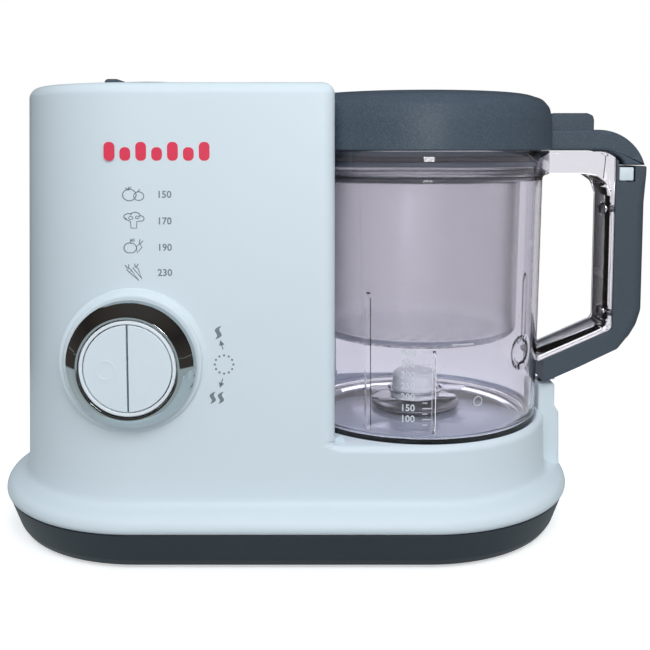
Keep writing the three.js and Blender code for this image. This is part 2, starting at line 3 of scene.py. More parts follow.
import bmesh
import bpy
import numpy as np
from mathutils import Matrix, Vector


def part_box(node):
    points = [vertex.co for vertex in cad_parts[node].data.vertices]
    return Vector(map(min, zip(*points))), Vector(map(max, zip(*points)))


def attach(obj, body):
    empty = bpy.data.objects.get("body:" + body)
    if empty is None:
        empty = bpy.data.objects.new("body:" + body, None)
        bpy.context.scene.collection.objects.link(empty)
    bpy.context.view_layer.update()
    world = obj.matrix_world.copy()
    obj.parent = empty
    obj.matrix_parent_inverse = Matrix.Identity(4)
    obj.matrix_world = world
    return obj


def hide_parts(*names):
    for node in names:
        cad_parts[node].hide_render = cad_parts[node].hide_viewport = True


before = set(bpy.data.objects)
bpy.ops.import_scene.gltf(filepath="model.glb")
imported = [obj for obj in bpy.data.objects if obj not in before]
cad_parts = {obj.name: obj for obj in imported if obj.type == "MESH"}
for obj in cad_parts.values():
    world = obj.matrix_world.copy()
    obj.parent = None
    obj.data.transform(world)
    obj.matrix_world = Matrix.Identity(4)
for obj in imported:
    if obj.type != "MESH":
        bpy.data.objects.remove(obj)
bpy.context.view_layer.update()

mm = 0.001
scene = bpy.context.scene


def boxMm(node):
    low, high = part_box(node)
    return [v / mm for v in low], [v / mm for v in high]


def middle(node, axis):
    low, high = boxMm(node)
    return (low[axis] + high[axis]) / 2


# where things stand, in millimetres, read off the solid model
layout = dict(
    jarX=middle("blade_hub", 0),
    towerX=middle("boiler_tank", 0),
    knobZ=middle("speed_ring", 2),
    towerTop=boxMm("main_housing")[1][2],
    knobFront=boxMm("button_bezel")[0][1],
    gripOut=boxMm("handle_cover")[1][0],
    lidTop=boxMm("lid_shell")[1][2],
)
jarX = layout["jarX"]
towerX = layout["towerX"]
print("layout", {k: round(v, 2) for k, v in layout.items()})


# outlines
def spread(low, high, count):
    return [low + (high - low) * i / (count - 1) for i in range(count)]


def arc(cx, cy, radius, start, end, steps):
    angles = [math.radians(a) for a in spread(start, end, steps + 1)]
    return [(cx + radius * math.cos(a), cy + radius * math.sin(a)) for a in angles]


def rounded(points, radius=1.0, steps=4):
    # a closed outline with every corner eased; a third number on a point is its own radius
    result = []
    for i, here in enumerate(points):
        p0, p1, p2 = (Vector(p[:2]) for p in (points[i - 1], here, points[(i + 1) % len(points)]))
        size = here[2] if len(here) > 2 else radius
        a, b = p0 - p1, p2 - p1
        reach = 0.49 * min(a.length, b.length)
        a.normalize()
        b.normalize()
        angle = math.acos(max(-1.0, min(1.0, a.dot(b))))
        if size <= 0 or angle > math.radians(176):
            result.append((p1.x, p1.y))
            continue
        cut = min(size / math.tan(angle / 2), reach)
        size = cut * math.tan(angle / 2)
        hub = p1 + (a + b).normalized() * size / math.sin(angle / 2)
        first = p1 + a * cut - hub
        turn = math.copysign(math.pi - angle,
                             first.x * (p1 + b * cut - hub).y - first.y * (p1 + b * cut - hub).x)
        for k in range(steps + 1):
            t = turn * k / steps
            c, s = math.cos(t), math.sin(t)
            result.append((hub.x + first.x * c - first.y * s, hub.y + first.x * s + first.y * c))
    return result


def inset(outline, amount):
    # the amount may be one number or one for each point
    area = sum(a[0] * b[1] - b[0] * a[1] for a, b in zip(outline, outline[1:] + outline[:1]))
    side = 1 if area > 0 else -1
    result = []
    for i, here in enumerate(outline):
        a = Vector(here) - Vector(outline[i - 1])
        b = Vector(outline[(i + 1) % len(outline)]) - Vector(here)
        a = a.normalized() if a.length > 1e-9 else b.normalized()
        b = b.normalized() if b.length > 1e-9 else a
        normal = Vector((-(a.y + b.y), a.x + b.x)) * side
        normal = normal.normalized() if normal.length > 1e-6 else Vector((-a.y, a.x)) * side
        stretch = max(0.5, normal.dot(Vector((-a.y, a.x)) * side))
        move = (amount[i] if isinstance(amount, list) else amount) / stretch
        result.append((here[0] + normal.x * move, here[1] + normal.y * move))
    # edges shorter than the inset turn over, so each such run is drawn together to one point
    count = len(outline)
    for _ in range(2):
        over = [(Vector(outline[(i + 1) % count]) - Vector(outline[i])).dot(
            Vector(result[(i + 1) % count]) - Vector(result[i])) < 0 for i in range(count)]
        if all(over) or not any(over):
            break
        start = next(i for i in range(count) if not over[i]) + 1
        run = []
        for k in range(start, start + count):
            i = k % count
            if over[i]:
                run = run or [i]
                run.append((i + 1) % count)
            elif run:
                spot = tuple(sum(result[j][a] for j in run) / len(run) for a in (0, 1))
                for j in run:
                    result[j] = spot
                run = []
    return result


# solids, each a pair of points and faces
def joined(*shapes):
    points, faces = [], []
    for somePoints, someFaces in shapes:
        start = len(points)
        points += somePoints
        faces += [[i + start for i in face] for face in someFaces]
    return points, faces


def skin(rings, closed=True, loop=False):
    count = len(rings[0])
    faces = []
    for i in range(len(rings) if loop else len(rings) - 1):
        k = (i + 1) % len(rings)
        for j in range(count if closed else count - 1):
            n = (j + 1) % count
            faces.append([i * count + j, i * count + n, k * count + n, k * count + j])
    return [p for ring in rings for p in ring], faces


def lathe(profile, centre, axis="Z", steps=96, start=0, end=360):
    # a closed profile of (radius, place along the axis) spun about that axis
    full = end - start >= 360
    angles = [math.radians(start + (end - start) * i / steps) for i in range(steps if full else steps + 1)]
    cx, cy, cz = centre
    rings = []
    for a in angles:
        c, s = math.cos(a), math.sin(a)
        if axis == "Z":
            rings.append([(cx + r * c, cy + r * s, cz + h) for r, h in profile])
        elif axis == "Y":
            rings.append([(cx + r * c, cy + h, cz + r * s) for r, h in profile])
        else:
            rings.append([(cx + h, cy + r * c, cz + r * s) for r, h in profile])
    points, faces = skin(rings, closed=True, loop=full)
    if not full:
        faces += [list(range(len(profile))), [len(points) - 1 - i for i in range(len(profile))]]
    return points, faces


def slab(outline, axis, low, high, bevel=0.6, steps=3, caps=True):
    # an outline given thickness along an axis, with both rims rolled over
    def place(p, h):
        return {"X": (h, p[0], p[1]), "Y": (p[0], h, p[1]), "Z": (p[0], p[1], h)}[axis]

    widths = bevel if isinstance(bevel, list) else [bevel] * len(outline)
    rings = []
    for end, inward in ((low, 1), (high, -1)):
        side = []
        for k in range(steps + 1 if any(widths) else 1):
            a = math.pi / 2 * k / steps
            edge = inset(outline, [w * (1 - math.sin(a)) for w in widths])
            side.append([place(p, end + inward * w * (1 - math.cos(a))) for p, w in zip(edge, widths)])
        rings += side[::inward]
    points, faces = skin(rings)
    if caps:
        count = len(outline)
        faces += [list(range(count))[::-1], [len(points) - count + i for i in range(count)]]
    return points, faces


def brick(x0, x1, y0, y1, z0, z1, bevel=0.4, corner=0.8, axis="Z"):
    if axis == "Z":
        return slab(rounded([(x0, y0), (x1, y0), (x1, y1), (x0, y1)], corner, 3), "Z", z0, z1, bevel)
    if axis == "Y":
        return slab(rounded([(x0, z0), (x1, z0), (x1, z1), (x0, z1)], corner, 3), "Y", y0, y1, bevel)
    return slab(rounded([(y0, z0), (y1, z0), (y1, z1), (y0, z1)], corner, 3), "X", x0, x1, bevel)


def disc(centre, radius, low, high, axis="Z", bevel=0.4, steps=32):
    profile = rounded([(0, low, 0), (radius, low), (radius, high), (0, high, 0)], bevel, 3)
    return lathe(profile, centre, axis, steps)


# from points and faces to a piece
def meshOf(name, shape, crease=35):
    points, faces = shape
    mesh = bpy.data.meshes.new(name)
    mesh.from_pydata([(x * mm, y * mm, z * mm) for x, y, z in points], [], faces)
    work = bmesh.new()
    work.from_mesh(mesh)
    bmesh.ops.remove_doubles(work, verts=work.verts, dist=0.003 * mm)
    bmesh.ops.recalc_face_normals(work, faces=work.faces)
    work.to_mesh(mesh)
    work.free()
    mesh.polygons.foreach_set("use_smooth", [True] * len(mesh.polygons))
    mesh.set_sharp_from_angle(angle=math.radians(crease))
    return mesh


def loose(name, shape, crease=35):
    item = bpy.data.objects.new(name, meshOf(name, shape, crease))
    scene.collection.objects.link(item)
    return item


def bake(item, crease=35):
    # the modifiers' result becomes the item's own mesh
    bpy.context.view_layer.update()
    result = bpy.data.meshes.new_from_object(item.evaluated_get(bpy.context.evaluated_depsgraph_get()))
    item.modifiers.clear()
    item.data = result
    result.polygons.foreach_set("use_smooth", [True] * len(result.polygons))
    result.set_sharp_from_angle(angle=math.radians(crease))
    return item


def carve(item, shape, way="DIFFERENCE", crease=35):
    cutter = loose("cutter", shape)
    cut = item.modifiers.new("cut", "BOOLEAN")
    cut.operation = way
    cut.object = cutter
    cut.solver = "MANIFOLD"
    before = len(item.data.polygons)
    bake(item, crease)
    bpy.data.objects.remove(cutter)
    if not len(item.data.polygons):
        raise RuntimeError(f"{item.name}: nothing left of {before} faces after a cut")
    return item


def settle(item, finish, body, stands=(), flow=False):
    item.data.materials.clear()
    for each in finish if isinstance(finish, (list, tuple)) else [finish]:
        item.data.materials.append(each)
    if flow:
        even = item.modifiers.new("even shading", "WEIGHTED_NORMAL")
        even.keep_sharp = True
    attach(item, body)
    if stands:
        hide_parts(*stands)
    return item


def piece(name, shape, finish, body, stands=(), crease=35, flow=False):
    return settle(loose(name, shape, crease), finish, body, stands, flow)


print("helpers ready")


# Geometry Nodes
def tree(name, inputs):
    group = bpy.data.node_groups.new(name, "GeometryNodeTree")
    group.interface.new_socket("Geometry", in_out="INPUT", socket_type="NodeSocketGeometry")
    for label, kind, value in inputs:
        made = group.interface.new_socket(label, in_out="INPUT", socket_type="NodeSocket" + kind)
        if value is not None:
            made.default_value = value
    group.interface.new_socket("Geometry", in_out="OUTPUT", socket_type="NodeSocketGeometry")
    return group, group.nodes.new("NodeGroupInput"), group.nodes.new("NodeGroupOutput")


def wire(group, start, end):
    group.links.new(start, end)


def ending(group, given, out, geometry):
    # every tree here ends with real meshes in one material
    real = group.nodes.new("GeometryNodeRealizeInstances")
    paint = group.nodes.new("GeometryNodeSetMaterial")
    wire(group, geometry, real.inputs["Geometry"])
    wire(group, real.outputs["Geometry"], paint.inputs["Geometry"])
    wire(group, given.outputs["Material"], paint.inputs["Material"])
    wire(group, paint.outputs["Geometry"], out.inputs["Geometry"])


def grown(name, group, values, points=((0, 0, 0),), lines=(), crease=35):
    # runs a tree on a few starting points, given in millimetres, and keeps the plain mesh
    mesh = bpy.data.meshes.new(name)
    mesh.from_pydata([tuple(v * mm for v in p) for p in points], list(lines), [])
    item = bpy.data.objects.new(name, mesh)
    scene.collection.objects.link(item)
    grow = item.modifiers.new("grow", "NODES")
    grow.node_group = group
    sockets = {s.name: s.identifier for s in group.interface.items_tree if s.in_out == "INPUT"}
    for label, value in values.items():
        grow[sockets[label]] = value
    bake(item, crease)
    work = bmesh.new()
    work.from_mesh(item.data)
    bmesh.ops.remove_doubles(work, verts=work.verts, dist=0.002 * mm)
    bmesh.ops.recalc_face_normals(work, faces=work.faces)
    work.to_mesh(item.data)
    work.free()
    return item


def scatterTree():
    # one small part set down at every point, turned to a given angle
    group, given, out = tree("set down at points", [
        ("Part", "Object", None), ("Turn", "Vector", (0, 0, 0)), ("Uneven turn", "Float", 0.0),
        ("Seed", "Int", 7), ("Material", "Material", None)])
    nodes = group.nodes
    toPoints = nodes.new("GeometryNodeMeshToPoints")
    part = nodes.new("GeometryNodeObjectInfo")
    setDown = nodes.new("GeometryNodeInstanceOnPoints")
    chance = nodes.new("FunctionNodeRandomValue")
    spin = nodes.new("ShaderNodeCombineXYZ")
    turn = nodes.new("ShaderNodeVectorMath")
    wire(group, given.outputs["Geometry"], toPoints.inputs["Mesh"])
    wire(group, given.outputs["Part"], part.inputs["Object"])
    wire(group, toPoints.outputs["Points"], setDown.inputs["Points"])
    wire(group, part.outputs["Geometry"], setDown.inputs["Instance"])
    wire(group, given.outputs["Uneven turn"], chance.inputs[3])
    wire(group, given.outputs["Seed"], chance.inputs["Seed"])
    wire(group, chance.outputs[1], spin.inputs["Z"])
    wire(group, spin.outputs["Vector"], turn.inputs[0])
    wire(group, given.outputs["Turn"], turn.inputs[1])
    wire(group, turn.outputs["Vector"], setDown.inputs["Rotation"])
    ending(group, given, out, setDown.outputs["Instances"])
    return group


def coilTree():
    # round wire wound into a spring that stands on its start point
    group, given, out = tree("wound wire", [
        ("Turns", "Float", 6.0), ("Radius", "Float", 0.003), ("Height", "Float", 0.01),
                                            ("Wire", "Float", 0.0004),
        ("Resolution", "Int", 24), ("Centre", "Vector", (0, 0, 0)), ("Tilt", "Vector", (0, 0, 0)),
        ("Material", "Material", None)])
    nodes = group.nodes
    path = nodes.new("GeometryNodeCurveSpiral")
    section = nodes.new("GeometryNodeCurvePrimitiveCircle")
    section.inputs["Resolution"].default_value = 10
    tube = nodes.new("GeometryNodeCurveToMesh")
    tube.inputs["Fill Caps"].default_value = True
    move = nodes.new("GeometryNodeTransform")
    wire(group, given.outputs["Turns"], path.inputs["Rotations"])
    wire(group, given.outputs["Resolution"], path.inputs["Resolution"])
    wire(group, given.outputs["Radius"], path.inputs["Start Radius"])
    wire(group, given.outputs["Radius"], path.inputs["End Radius"])
    wire(group, given.outputs["Height"], path.inputs["Height"])
    wire(group, given.outputs["Wire"], section.inputs["Radius"])
    wire(group, path.outputs["Curve"], tube.inputs["Curve"])
    wire(group, section.outputs["Curve"], tube.inputs["Profile Curve"])
    wire(group, tube.outputs["Mesh"], move.inputs["Geometry"])
    wire(group, given.outputs["Centre"], move.inputs["Translation"])
    wire(group, given.outputs["Tilt"], move.inputs["Rotation"])
    ending(group, given, out, move.outputs["Geometry"])
    return group


def tubeTree():
    # a round section carried along the starting edges, for pipes, rims and raised lines
    group, given, out = tree("round section along a line", [
        ("Radius", "Float", 0.001), ("Sides", "Int", 12), ("Material", "Material", None)])
    nodes = group.nodes
    path = nodes.new("GeometryNodeMeshToCurve")
    section = nodes.new("GeometryNodeCurvePrimitiveCircle")
    tube = nodes.new("GeometryNodeCurveToMesh")
    tube.inputs["Fill Caps"].default_value = True
    wire(group, given.outputs["Geometry"], path.inputs["Mesh"])
    wire(group, given.outputs["Sides"], section.inputs["Resolution"])
    wire(group, given.outputs["Radius"], section.inputs["Radius"])
    wire(group, path.outputs["Curve"], tube.inputs["Curve"])
    wire(group, section.outputs["Curve"], tube.inputs["Profile Curve"])
    ending(group, given, out, tube.outputs["Mesh"])
    return group


scatter = scatterTree()
woundWire = coilTree()
alongLine = tubeTree()
print("node trees ready")


# finishes
def effect(name, inputs, outputs):
    group = bpy.data.node_groups.new(name, "ShaderNodeTree")
    for label, kind, value in inputs:
        made = group.interface.new_socket(label, in_out="INPUT", socket_type="NodeSocket" + kind)
        made.default_value = value
    for label, kind in outputs:
        group.interface.new_socket(label, in_out="OUTPUT", socket_type="NodeSocket" + kind)
    return group, group.nodes.new("NodeGroupInput"), group.nodes.new("NodeGroupOutput")


def mathNode(group, way, a, b, clamp=False):
    node = group.nodes.new("ShaderNodeMath")
    node.operation = way
    node.use_clamp = clamp
    for socket, value in zip(node.inputs, (a, b)):
        if isinstance(value, (int, float)):
            socket.default_value = value
        else:
            wire(group, value, socket)
    return node.outputs[0]


def noiseNode(group, vector, scale, detail=2.0, rough=0.5):
    node = group.nodes.new("ShaderNodeTexNoise")
    node.inputs["Detail"].default_value = detail
    node.inputs["Roughness"].default_value = rough
    wire(group, vector, node.inputs["Vector"])
    if isinstance(scale, (int, float)):
        node.inputs["Scale"].default_value = scale
    else:
        wire(group, scale, node.inputs["Scale"])
    return node.outputs["Fac"]


def mixColour(group, factor, first, second):
    node = group.nodes.new("ShaderNodeMix")
    node.data_type = "RGBA"
    wire(group, factor, node.inputs["Factor"])
    wire(group, first, node.inputs[6])
    wire(group, second, node.inputs[7])
    return node.outputs[2]


def mouldedEffect():
    # moulded plastic: slow mottle in the colour, fine grain in the surface, uneven gloss
    group, given, out = effect("moulded grain", [
        ("Colour", "Color", (0.8, 0.8, 0.8, 1)), ("Shade", "Color", (0.7, 0.7, 0.7, 1)),
        ("Mottle Scale", "Float", 20.0), ("Mottle Share", "Float", 0.3), ("Grain Scale", "Float", 1500.0),
        ("Grain Depth", "Float", 0.00002), ("Roughness", "Float", 0.4), ("Roughness Spread", "Float", 0.1)],
        [("Colour", "Color"), ("Roughness", "Float"), ("Normal", "Vector")])
    where = group.nodes.new("ShaderNodeTexCoord").outputs["Object"]
    slow = noiseNode(group, where, given.outputs["Mottle Scale"], 3.0)
    fine = noiseNode(group, where, given.outputs["Grain Scale"], 2.0)
    share = mathNode(group, "MULTIPLY", slow, given.outputs["Mottle Share"], clamp=True)
    wire(group, mixColour(group, share, given.outputs["Colour"], given.outputs["Shade"]),
         out.inputs["Colour"])
    offset = mathNode(group, "SUBTRACT", mathNode(group, "ADD", slow, fine), 1.0)
    change = mathNode(group, "MULTIPLY", offset, given.outputs["Roughness Spread"])
    wire(group, mathNode(group, "ADD", given.outputs["Roughness"], change, clamp=True),
         out.inputs["Roughness"])
    bump = group.nodes.new("ShaderNodeBump")
    wire(group, fine, bump.inputs["Height"])
    wire(group, given.outputs["Grain Depth"], bump.inputs["Distance"])
    wire(group, bump.outputs["Normal"], out.inputs["Normal"])
    return group


def fleckEffect():
    # tiny lighter flecks in patches, mixed into the colour: on the dark mouldings they are painted glints
    # and painted sheen standing in for the sparkle of a spark-textured surface; on the circuit board they
    # are its own gold spots
    group, given, out = effect("flecksAndGlints", [
        ("Colour", "Color", (0.1, 0.1, 0.1, 1)), ("Fleck And Glint", "Color", (0.3, 0.3, 0.3, 1)),
        ("Fleck And Glint Scale", "Float", 900.0), ("Fleck And Glint Share", "Float", 0.4)],
                               [("Colour", "Color"), ("Mask", "Float")])
    where = group.nodes.new("ShaderNodeTexCoord").outputs["Object"]
    cells = group.nodes.new("ShaderNodeTexVoronoi")
    wire(group, where, cells.inputs["Vector"])
    wire(group, given.outputs["Fleck And Glint Scale"], cells.inputs["Scale"])
    patch = noiseNode(group, where, 60.0, 2.0)
    near = mathNode(group, "SUBTRACT", 0.55, cells.outputs["Distance"], clamp=True)
    fleckAndGlintMask = mathNode(group, "MULTIPLY", mathNode(group, "MULTIPLY", near, patch), 2.4, clamp=True)
    fleckAndGlintMask = mathNode(group, "MULTIPLY", fleckAndGlintMask, given.outputs["Fleck And Glint Share"], clamp=True)
    wire(group, mixColour(group, fleckAndGlintMask, given.outputs["Colour"], given.outputs["Fleck And Glint"]),
         out.inputs["Colour"])
    wire(group, fleckAndGlintMask, out.inputs["Mask"])
    return group


def brushedEffect():
    # long fine lines along one axis, as left by a belt or a lathe
    group, given, out = effect("brushed lines", [
        ("Stretch", "Vector", (40.0, 40.0, 2500.0)), ("Depth", "Float", 0.00001),
                                                 ("Roughness", "Float", 0.25),
        ("Roughness Spread", "Float", 0.15)], [("Roughness", "Float"), ("Normal", "Vector")])
    where = group.nodes.new("ShaderNodeTexCoord").outputs["Object"]
    scaled = group.nodes.new("ShaderNodeVectorMath")
    scaled.operation = "MULTIPLY"
    wire(group, where, scaled.inputs[0])
    wire(group, given.outputs["Stretch"], scaled.inputs[1])
    lines = noiseNode(group, scaled.outputs["Vector"], 1.0, 3.0)
    change = mathNode(group, "MULTIPLY", mathNode(group, "SUBTRACT", lines, 0.5),
                      given.outputs["Roughness Spread"])
    wire(group, mathNode(group, "ADD", given.outputs["Roughness"], change, clamp=True),
         out.inputs["Roughness"])
    bump = group.nodes.new("ShaderNodeBump")
    wire(group, lines, bump.inputs["Height"])
    wire(group, given.outputs["Depth"], bump.inputs["Distance"])
    wire(group, bump.outputs["Normal"], out.inputs["Normal"])
    return group


def smearEffect():
    # wiping marks and a breath of dust on glossy surfaces
    group, given, out = effect("wiping marks", [
        ("Roughness", "Float", 0.05), ("Amount", "Float", 0.1), ("Scale", "Float", 30.0),
        ("Ripple", "Float", 0.00002)], [("Roughness", "Float"), ("Normal", "Vector")])
    where = group.nodes.new("ShaderNodeTexCoord").outputs["Object"]
    broad = noiseNode(group, where, given.outputs["Scale"], 4.0, 0.6)
    marks = mathNode(group, "MULTIPLY", mathNode(group, "SUBTRACT", broad, 0.45, clamp=True),
                     given.outputs["Amount"])
    wire(group, mathNode(group, "ADD", given.outputs["Roughness"], marks, clamp=True),
         out.inputs["Roughness"])
    bump = group.nodes.new("ShaderNodeBump")
    wire(group, broad, bump.inputs["Height"])
    wire(group, given.outputs["Ripple"], bump.inputs["Distance"])
    wire(group, bump.outputs["Normal"], out.inputs["Normal"])
    return group


moulded = mouldedEffect()
flecksAndGlints = fleckEffect()
brushed = brushedEffect()
smears = smearEffect()


def colour(r, g, b):
    # a colour as it is seen on a screen, 0 to 255, in the renderer's own scale
    linear = [v / 3294.6 if v <= 10.3 else ((v / 255 + 0.055) / 1.055) ** 2.4 for v in (r, g, b)]
    return (*linear, 1.0)


def blank(name):
    made = bpy.data.materials.new(name)
    made.use_nodes = True
    return made, made.node_tree, made.node_tree.nodes["Principled BSDF"]


def use(nodeTree, group, values):
    node = nodeTree.nodes.new("ShaderNodeGroup")
    node.node_tree = group
    for label, value in values.items():
        node.inputs[label].default_value = value
    return node


def plastic(name, look):
    made, nodeTree, shader = blank(name)
    grain = use(nodeTree, moulded, {
        "Colour": look["colour"], "Shade": look["shade"], "Mottle Scale": look.get("mottle", 25.0),
        "Mottle Share": look.get("mottleShare", 0.4), "Grain Scale": look.get("grain", 1600.0),
        "Grain Depth": look.get("depth", 0.00001), "Roughness": look["roughness"],
        "Roughness Spread": look.get("spread", 0.08)})
    base = grain.outputs["Colour"]
    # lighter flecks mixed into the base colour: painted glints and sheen on the dark mouldings, the board's
    # own gold spots on the circuit board
    if "fleckAndGlint" in look:
        fleckAndGlint = use(nodeTree, flecksAndGlints, {"Fleck And Glint": look["fleckAndGlint"], "Fleck And Glint Scale": look["fleckAndGlintScale"],
                                       "Fleck And Glint Share": look["fleckAndGlintShare"]})
        wire(nodeTree, base, fleckAndGlint.inputs["Colour"])
        base = fleckAndGlint.outputs["Colour"]
    wire(nodeTree, base, shader.inputs["Base Color"])
    wire(nodeTree, grain.outputs["Roughness"], shader.inputs["Roughness"])
    wire(nodeTree, grain.outputs["Normal"], shader.inputs["Normal"])
    shader.inputs["Coat Weight"].default_value = look.get("coat", 0.0)
    shader.inputs["Coat Roughness"].default_value = 0.1
    shader.inputs["Specular IOR Level"].default_value = look.get("specular", 0.5)
    return made


def metal(name, tint, roughness, stretch, depth=0.000004, spread=0.12):
    made, nodeTree, shader = blank(name)
    lines = use(nodeTree, brushed, {"Stretch": stretch, "Depth": depth, "Roughness": roughness,
                                    "Roughness Spread": spread})
    tone = use(nodeTree, moulded, {"Colour": tint, "Shade": tuple(v * 0.8 for v in tint[:3]) + (1,),
                                   "Mottle Scale": 60.0, "Mottle Share": 0.5})
    wire(nodeTree, tone.outputs["Colour"], shader.inputs["Base Color"])
    wire(nodeTree, lines.outputs["Roughness"], shader.inputs["Roughness"])
    wire(nodeTree, lines.outputs["Normal"], shader.inputs["Normal"])
    shader.inputs["Metallic"].default_value = 1.0
    return made


def clear(name, tint, roughness, marks, ior=1.49, ripple=0.00001, scale=24.0, through=1.0):
    made, nodeTree, shader = blank(name)
    wiped = use(nodeTree, smears, {"Roughness": roughness, "Amount": marks, "Scale": scale,
                                   "Ripple": ripple})
    tone = use(nodeTree, moulded, {"Colour": tint, "Shade": tuple(v * 0.94 for v in tint[:3]) + (1,),
                                   "Mottle Scale": 18.0, "Mottle Share": 0.5})
    wire(nodeTree, tone.outputs["Colour"], shader.inputs["Base Color"])
    wire(nodeTree, wiped.outputs["Roughness"], shader.inputs["Roughness"])
    wire(nodeTree, wiped.outputs["Normal"], shader.inputs["Normal"])
    shader.inputs["Transmission Weight"].default_value = through
    shader.inputs["IOR"].default_value = ior
    # light reaches what stands inside
    rays = nodeTree.nodes.new("ShaderNodeLightPath")
    letThrough = nodeTree.nodes.new("ShaderNodeBsdfTransparent")
    letThrough.inputs["Color"].default_value = (0.93, 0.93, 0.95, 1)
    chosen = nodeTree.nodes.new("ShaderNodeMixShader")
    wire(nodeTree, rays.outputs["Is Shadow Ray"], chosen.inputs["Fac"])
    wire(nodeTree, shader.outputs["BSDF"], chosen.inputs[1])
    wire(nodeTree, letThrough.outputs["BSDF"], chosen.inputs[2])
    wire(nodeTree, chosen.outputs["Shader"], nodeTree.nodes["Material Output"].inputs["Surface"])
    return made


plastics = dict(
    coolWhiteShell=dict(colour=colour(222, 232, 238), shade=colour(210, 221, 228), mottle=9.0,
                        mottleShare=0.5, roughness=0.36, spread=0.05, grain=1400.0, depth=0.000012,
                        specular=0.45),
    # the lighter flecks on the tray, lid and handle plastics are painted glints and painted sheen of a
    # spark-textured surface
    darkTray=dict(colour=colour(44, 53, 60), shade=colour(38, 46, 53), mottle=40.0, roughness=0.46,
                  grain=1500.0, depth=0.00002, fleckAndGlint=colour(58, 67, 74), fleckAndGlintScale=1300.0, fleckAndGlintShare=0.3),
    speckledLid=dict(colour=colour(72, 84, 96), shade=colour(62, 73, 86), mottle=30.0, roughness=0.42,
                     grain=1100.0, depth=0.00004, fleckAndGlint=colour(118, 131, 142), fleckAndGlintScale=1200.0,
                     fleckAndGlintShare=0.5),
    handleDark=dict(colour=colour(74, 84, 93), shade=colour(62, 71, 82), mottle=30.0, roughness=0.44,
                    grain=1300.0, depth=0.00003, fleckAndGlint=colour(104, 113, 121), fleckAndGlintScale=1300.0,
                    fleckAndGlintShare=0.35),
    deepBlack=dict(colour=colour(34, 35, 38), shade=colour(24, 25, 28), roughness=0.38, grain=1500.0,
                   depth=0.00002),
    satinWhite=dict(colour=colour(226, 235, 241), shade=colour(214, 224, 232), roughness=0.3, grain=1700.0,
                    depth=0.000008),
    bezelWhite=dict(colour=colour(236, 241, 245), shade=colour(226, 232, 237), roughness=0.22, grain=1700.0,
                    depth=0.000006),
    softRubber=dict(colour=colour(52, 53, 56), shade=colour(40, 41, 44), mottle=120.0, roughness=0.78,
                    grain=2600.0, depth=0.00003),
    sealSilicone=dict(colour=colour(196, 200, 203), shade=colour(180, 185, 190), mottle=120.0,
                      roughness=0.6, grain=2200.0, depth=0.00002),
    circuitGreen=dict(colour=colour(36, 96, 62), shade=colour(24, 70, 46), mottle=220.0, mottleShare=0.9,
                      roughness=0.4, grain=900.0, depth=0.00006, fleckAndGlint=colour(190, 172, 96),
                      fleckAndGlintScale=420.0, fleckAndGlintShare=0.8),
    windingCopper=dict(colour=colour(176, 98, 58), shade=colour(132, 66, 38), mottle=200.0, roughness=0.34,
                       grain=1900.0, depth=0.0001),
    redInk=dict(colour=colour(232, 58, 88), shade=colour(220, 48, 78), roughness=0.4, grain=2600.0,
                depth=0.000004),
    greyInk=dict(colour=colour(128, 136, 142), shade=colour(114, 122, 129), roughness=0.45, grain=2600.0,
                 depth=0.000004),
    paleInk=dict(colour=colour(214, 217, 222), shade=colour(202, 206, 212), roughness=0.5, grain=2600.0,
                 depth=0.000004),
    hubWhite=dict(colour=colour(232, 233, 236), shade=colour(220, 222, 227), roughness=0.35, grain=1500.0,
                  depth=0.00001),
)
finish = {name: plastic(name, look) for name, look in plastics.items()}
finish["brightChrome"] = metal("brightChrome", colour(196, 204, 206), 0.04, (60, 60, 60), 0.0000002, 0.02)
finish["bladeSteel"] = metal("bladeSteel", colour(190, 192, 196), 0.26, (60, 2400, 60))
finish["turnedSteel"] = metal("turnedSteel", colour(150, 148, 152), 0.3, (60, 60, 2600))
finish["castAluminium"] = metal("castAluminium", colour(176, 178, 180), 0.48, (500, 500, 500), 0.00003)
finish["springWire"] = metal("springWire", colour(168, 168, 170), 0.28, (900, 900, 900))
finish["clearJar"] = clear("clearJar", colour(228, 226, 234), 0.02, 0.10)
finish["hazyBasket"] = clear("hazyBasket", colour(246, 245, 246), 0.2, 0.25, scale=60.0)
print("finishes ready", len(finish))


# main housing
housing = dict(
    lowRadius=65.3,      # half the depth of the wall just above the flange
    highRadius=60.6,     # and at the top of the tower
    lowZ=30.0,
    towerRight=5.5,
    noseRadius=5.2,      # the tall front corner beside the jar
    innerCorner=1.5,
    recess=68.5,         # the hollow side that the jar stands in
    fillet=1.6,
    deckZ=54.5,
    lip=2.8,
    seatZ=51.5,
    seatRadius=61.2,
    wellRadius=16.0,
    wellZ=41.0,
    topRound=5.5,
    capHole=37.5,
    wall=2.6,
)
topZ = layout["towerTop"]
noseX = housing["towerRight"] - housing["noseRadius"]
springZ = topZ - housing["topRound"]


def wallRadius(z):
    low, high, lowZ = housing["lowRadius"], housing["highRadius"], housing["lowZ"]
    return low - (low - high) * (z - lowZ) / (topZ - lowZ)


# plan columns as (centre x, direction x, direction y), from the tall corner round the left end and back
leftColumns = [(x, 0, -1) for x in spread(noseX, towerX, 23)]
leftColumns += [(towerX, math.cos(math.radians(a)), math.sin(math.radians(a))) for a in spread(-90, -270,
                                                                                               65)[1:-1]]
leftColumns += [(x, 0, 1) for x in spread(towerX, noseX, 23)]


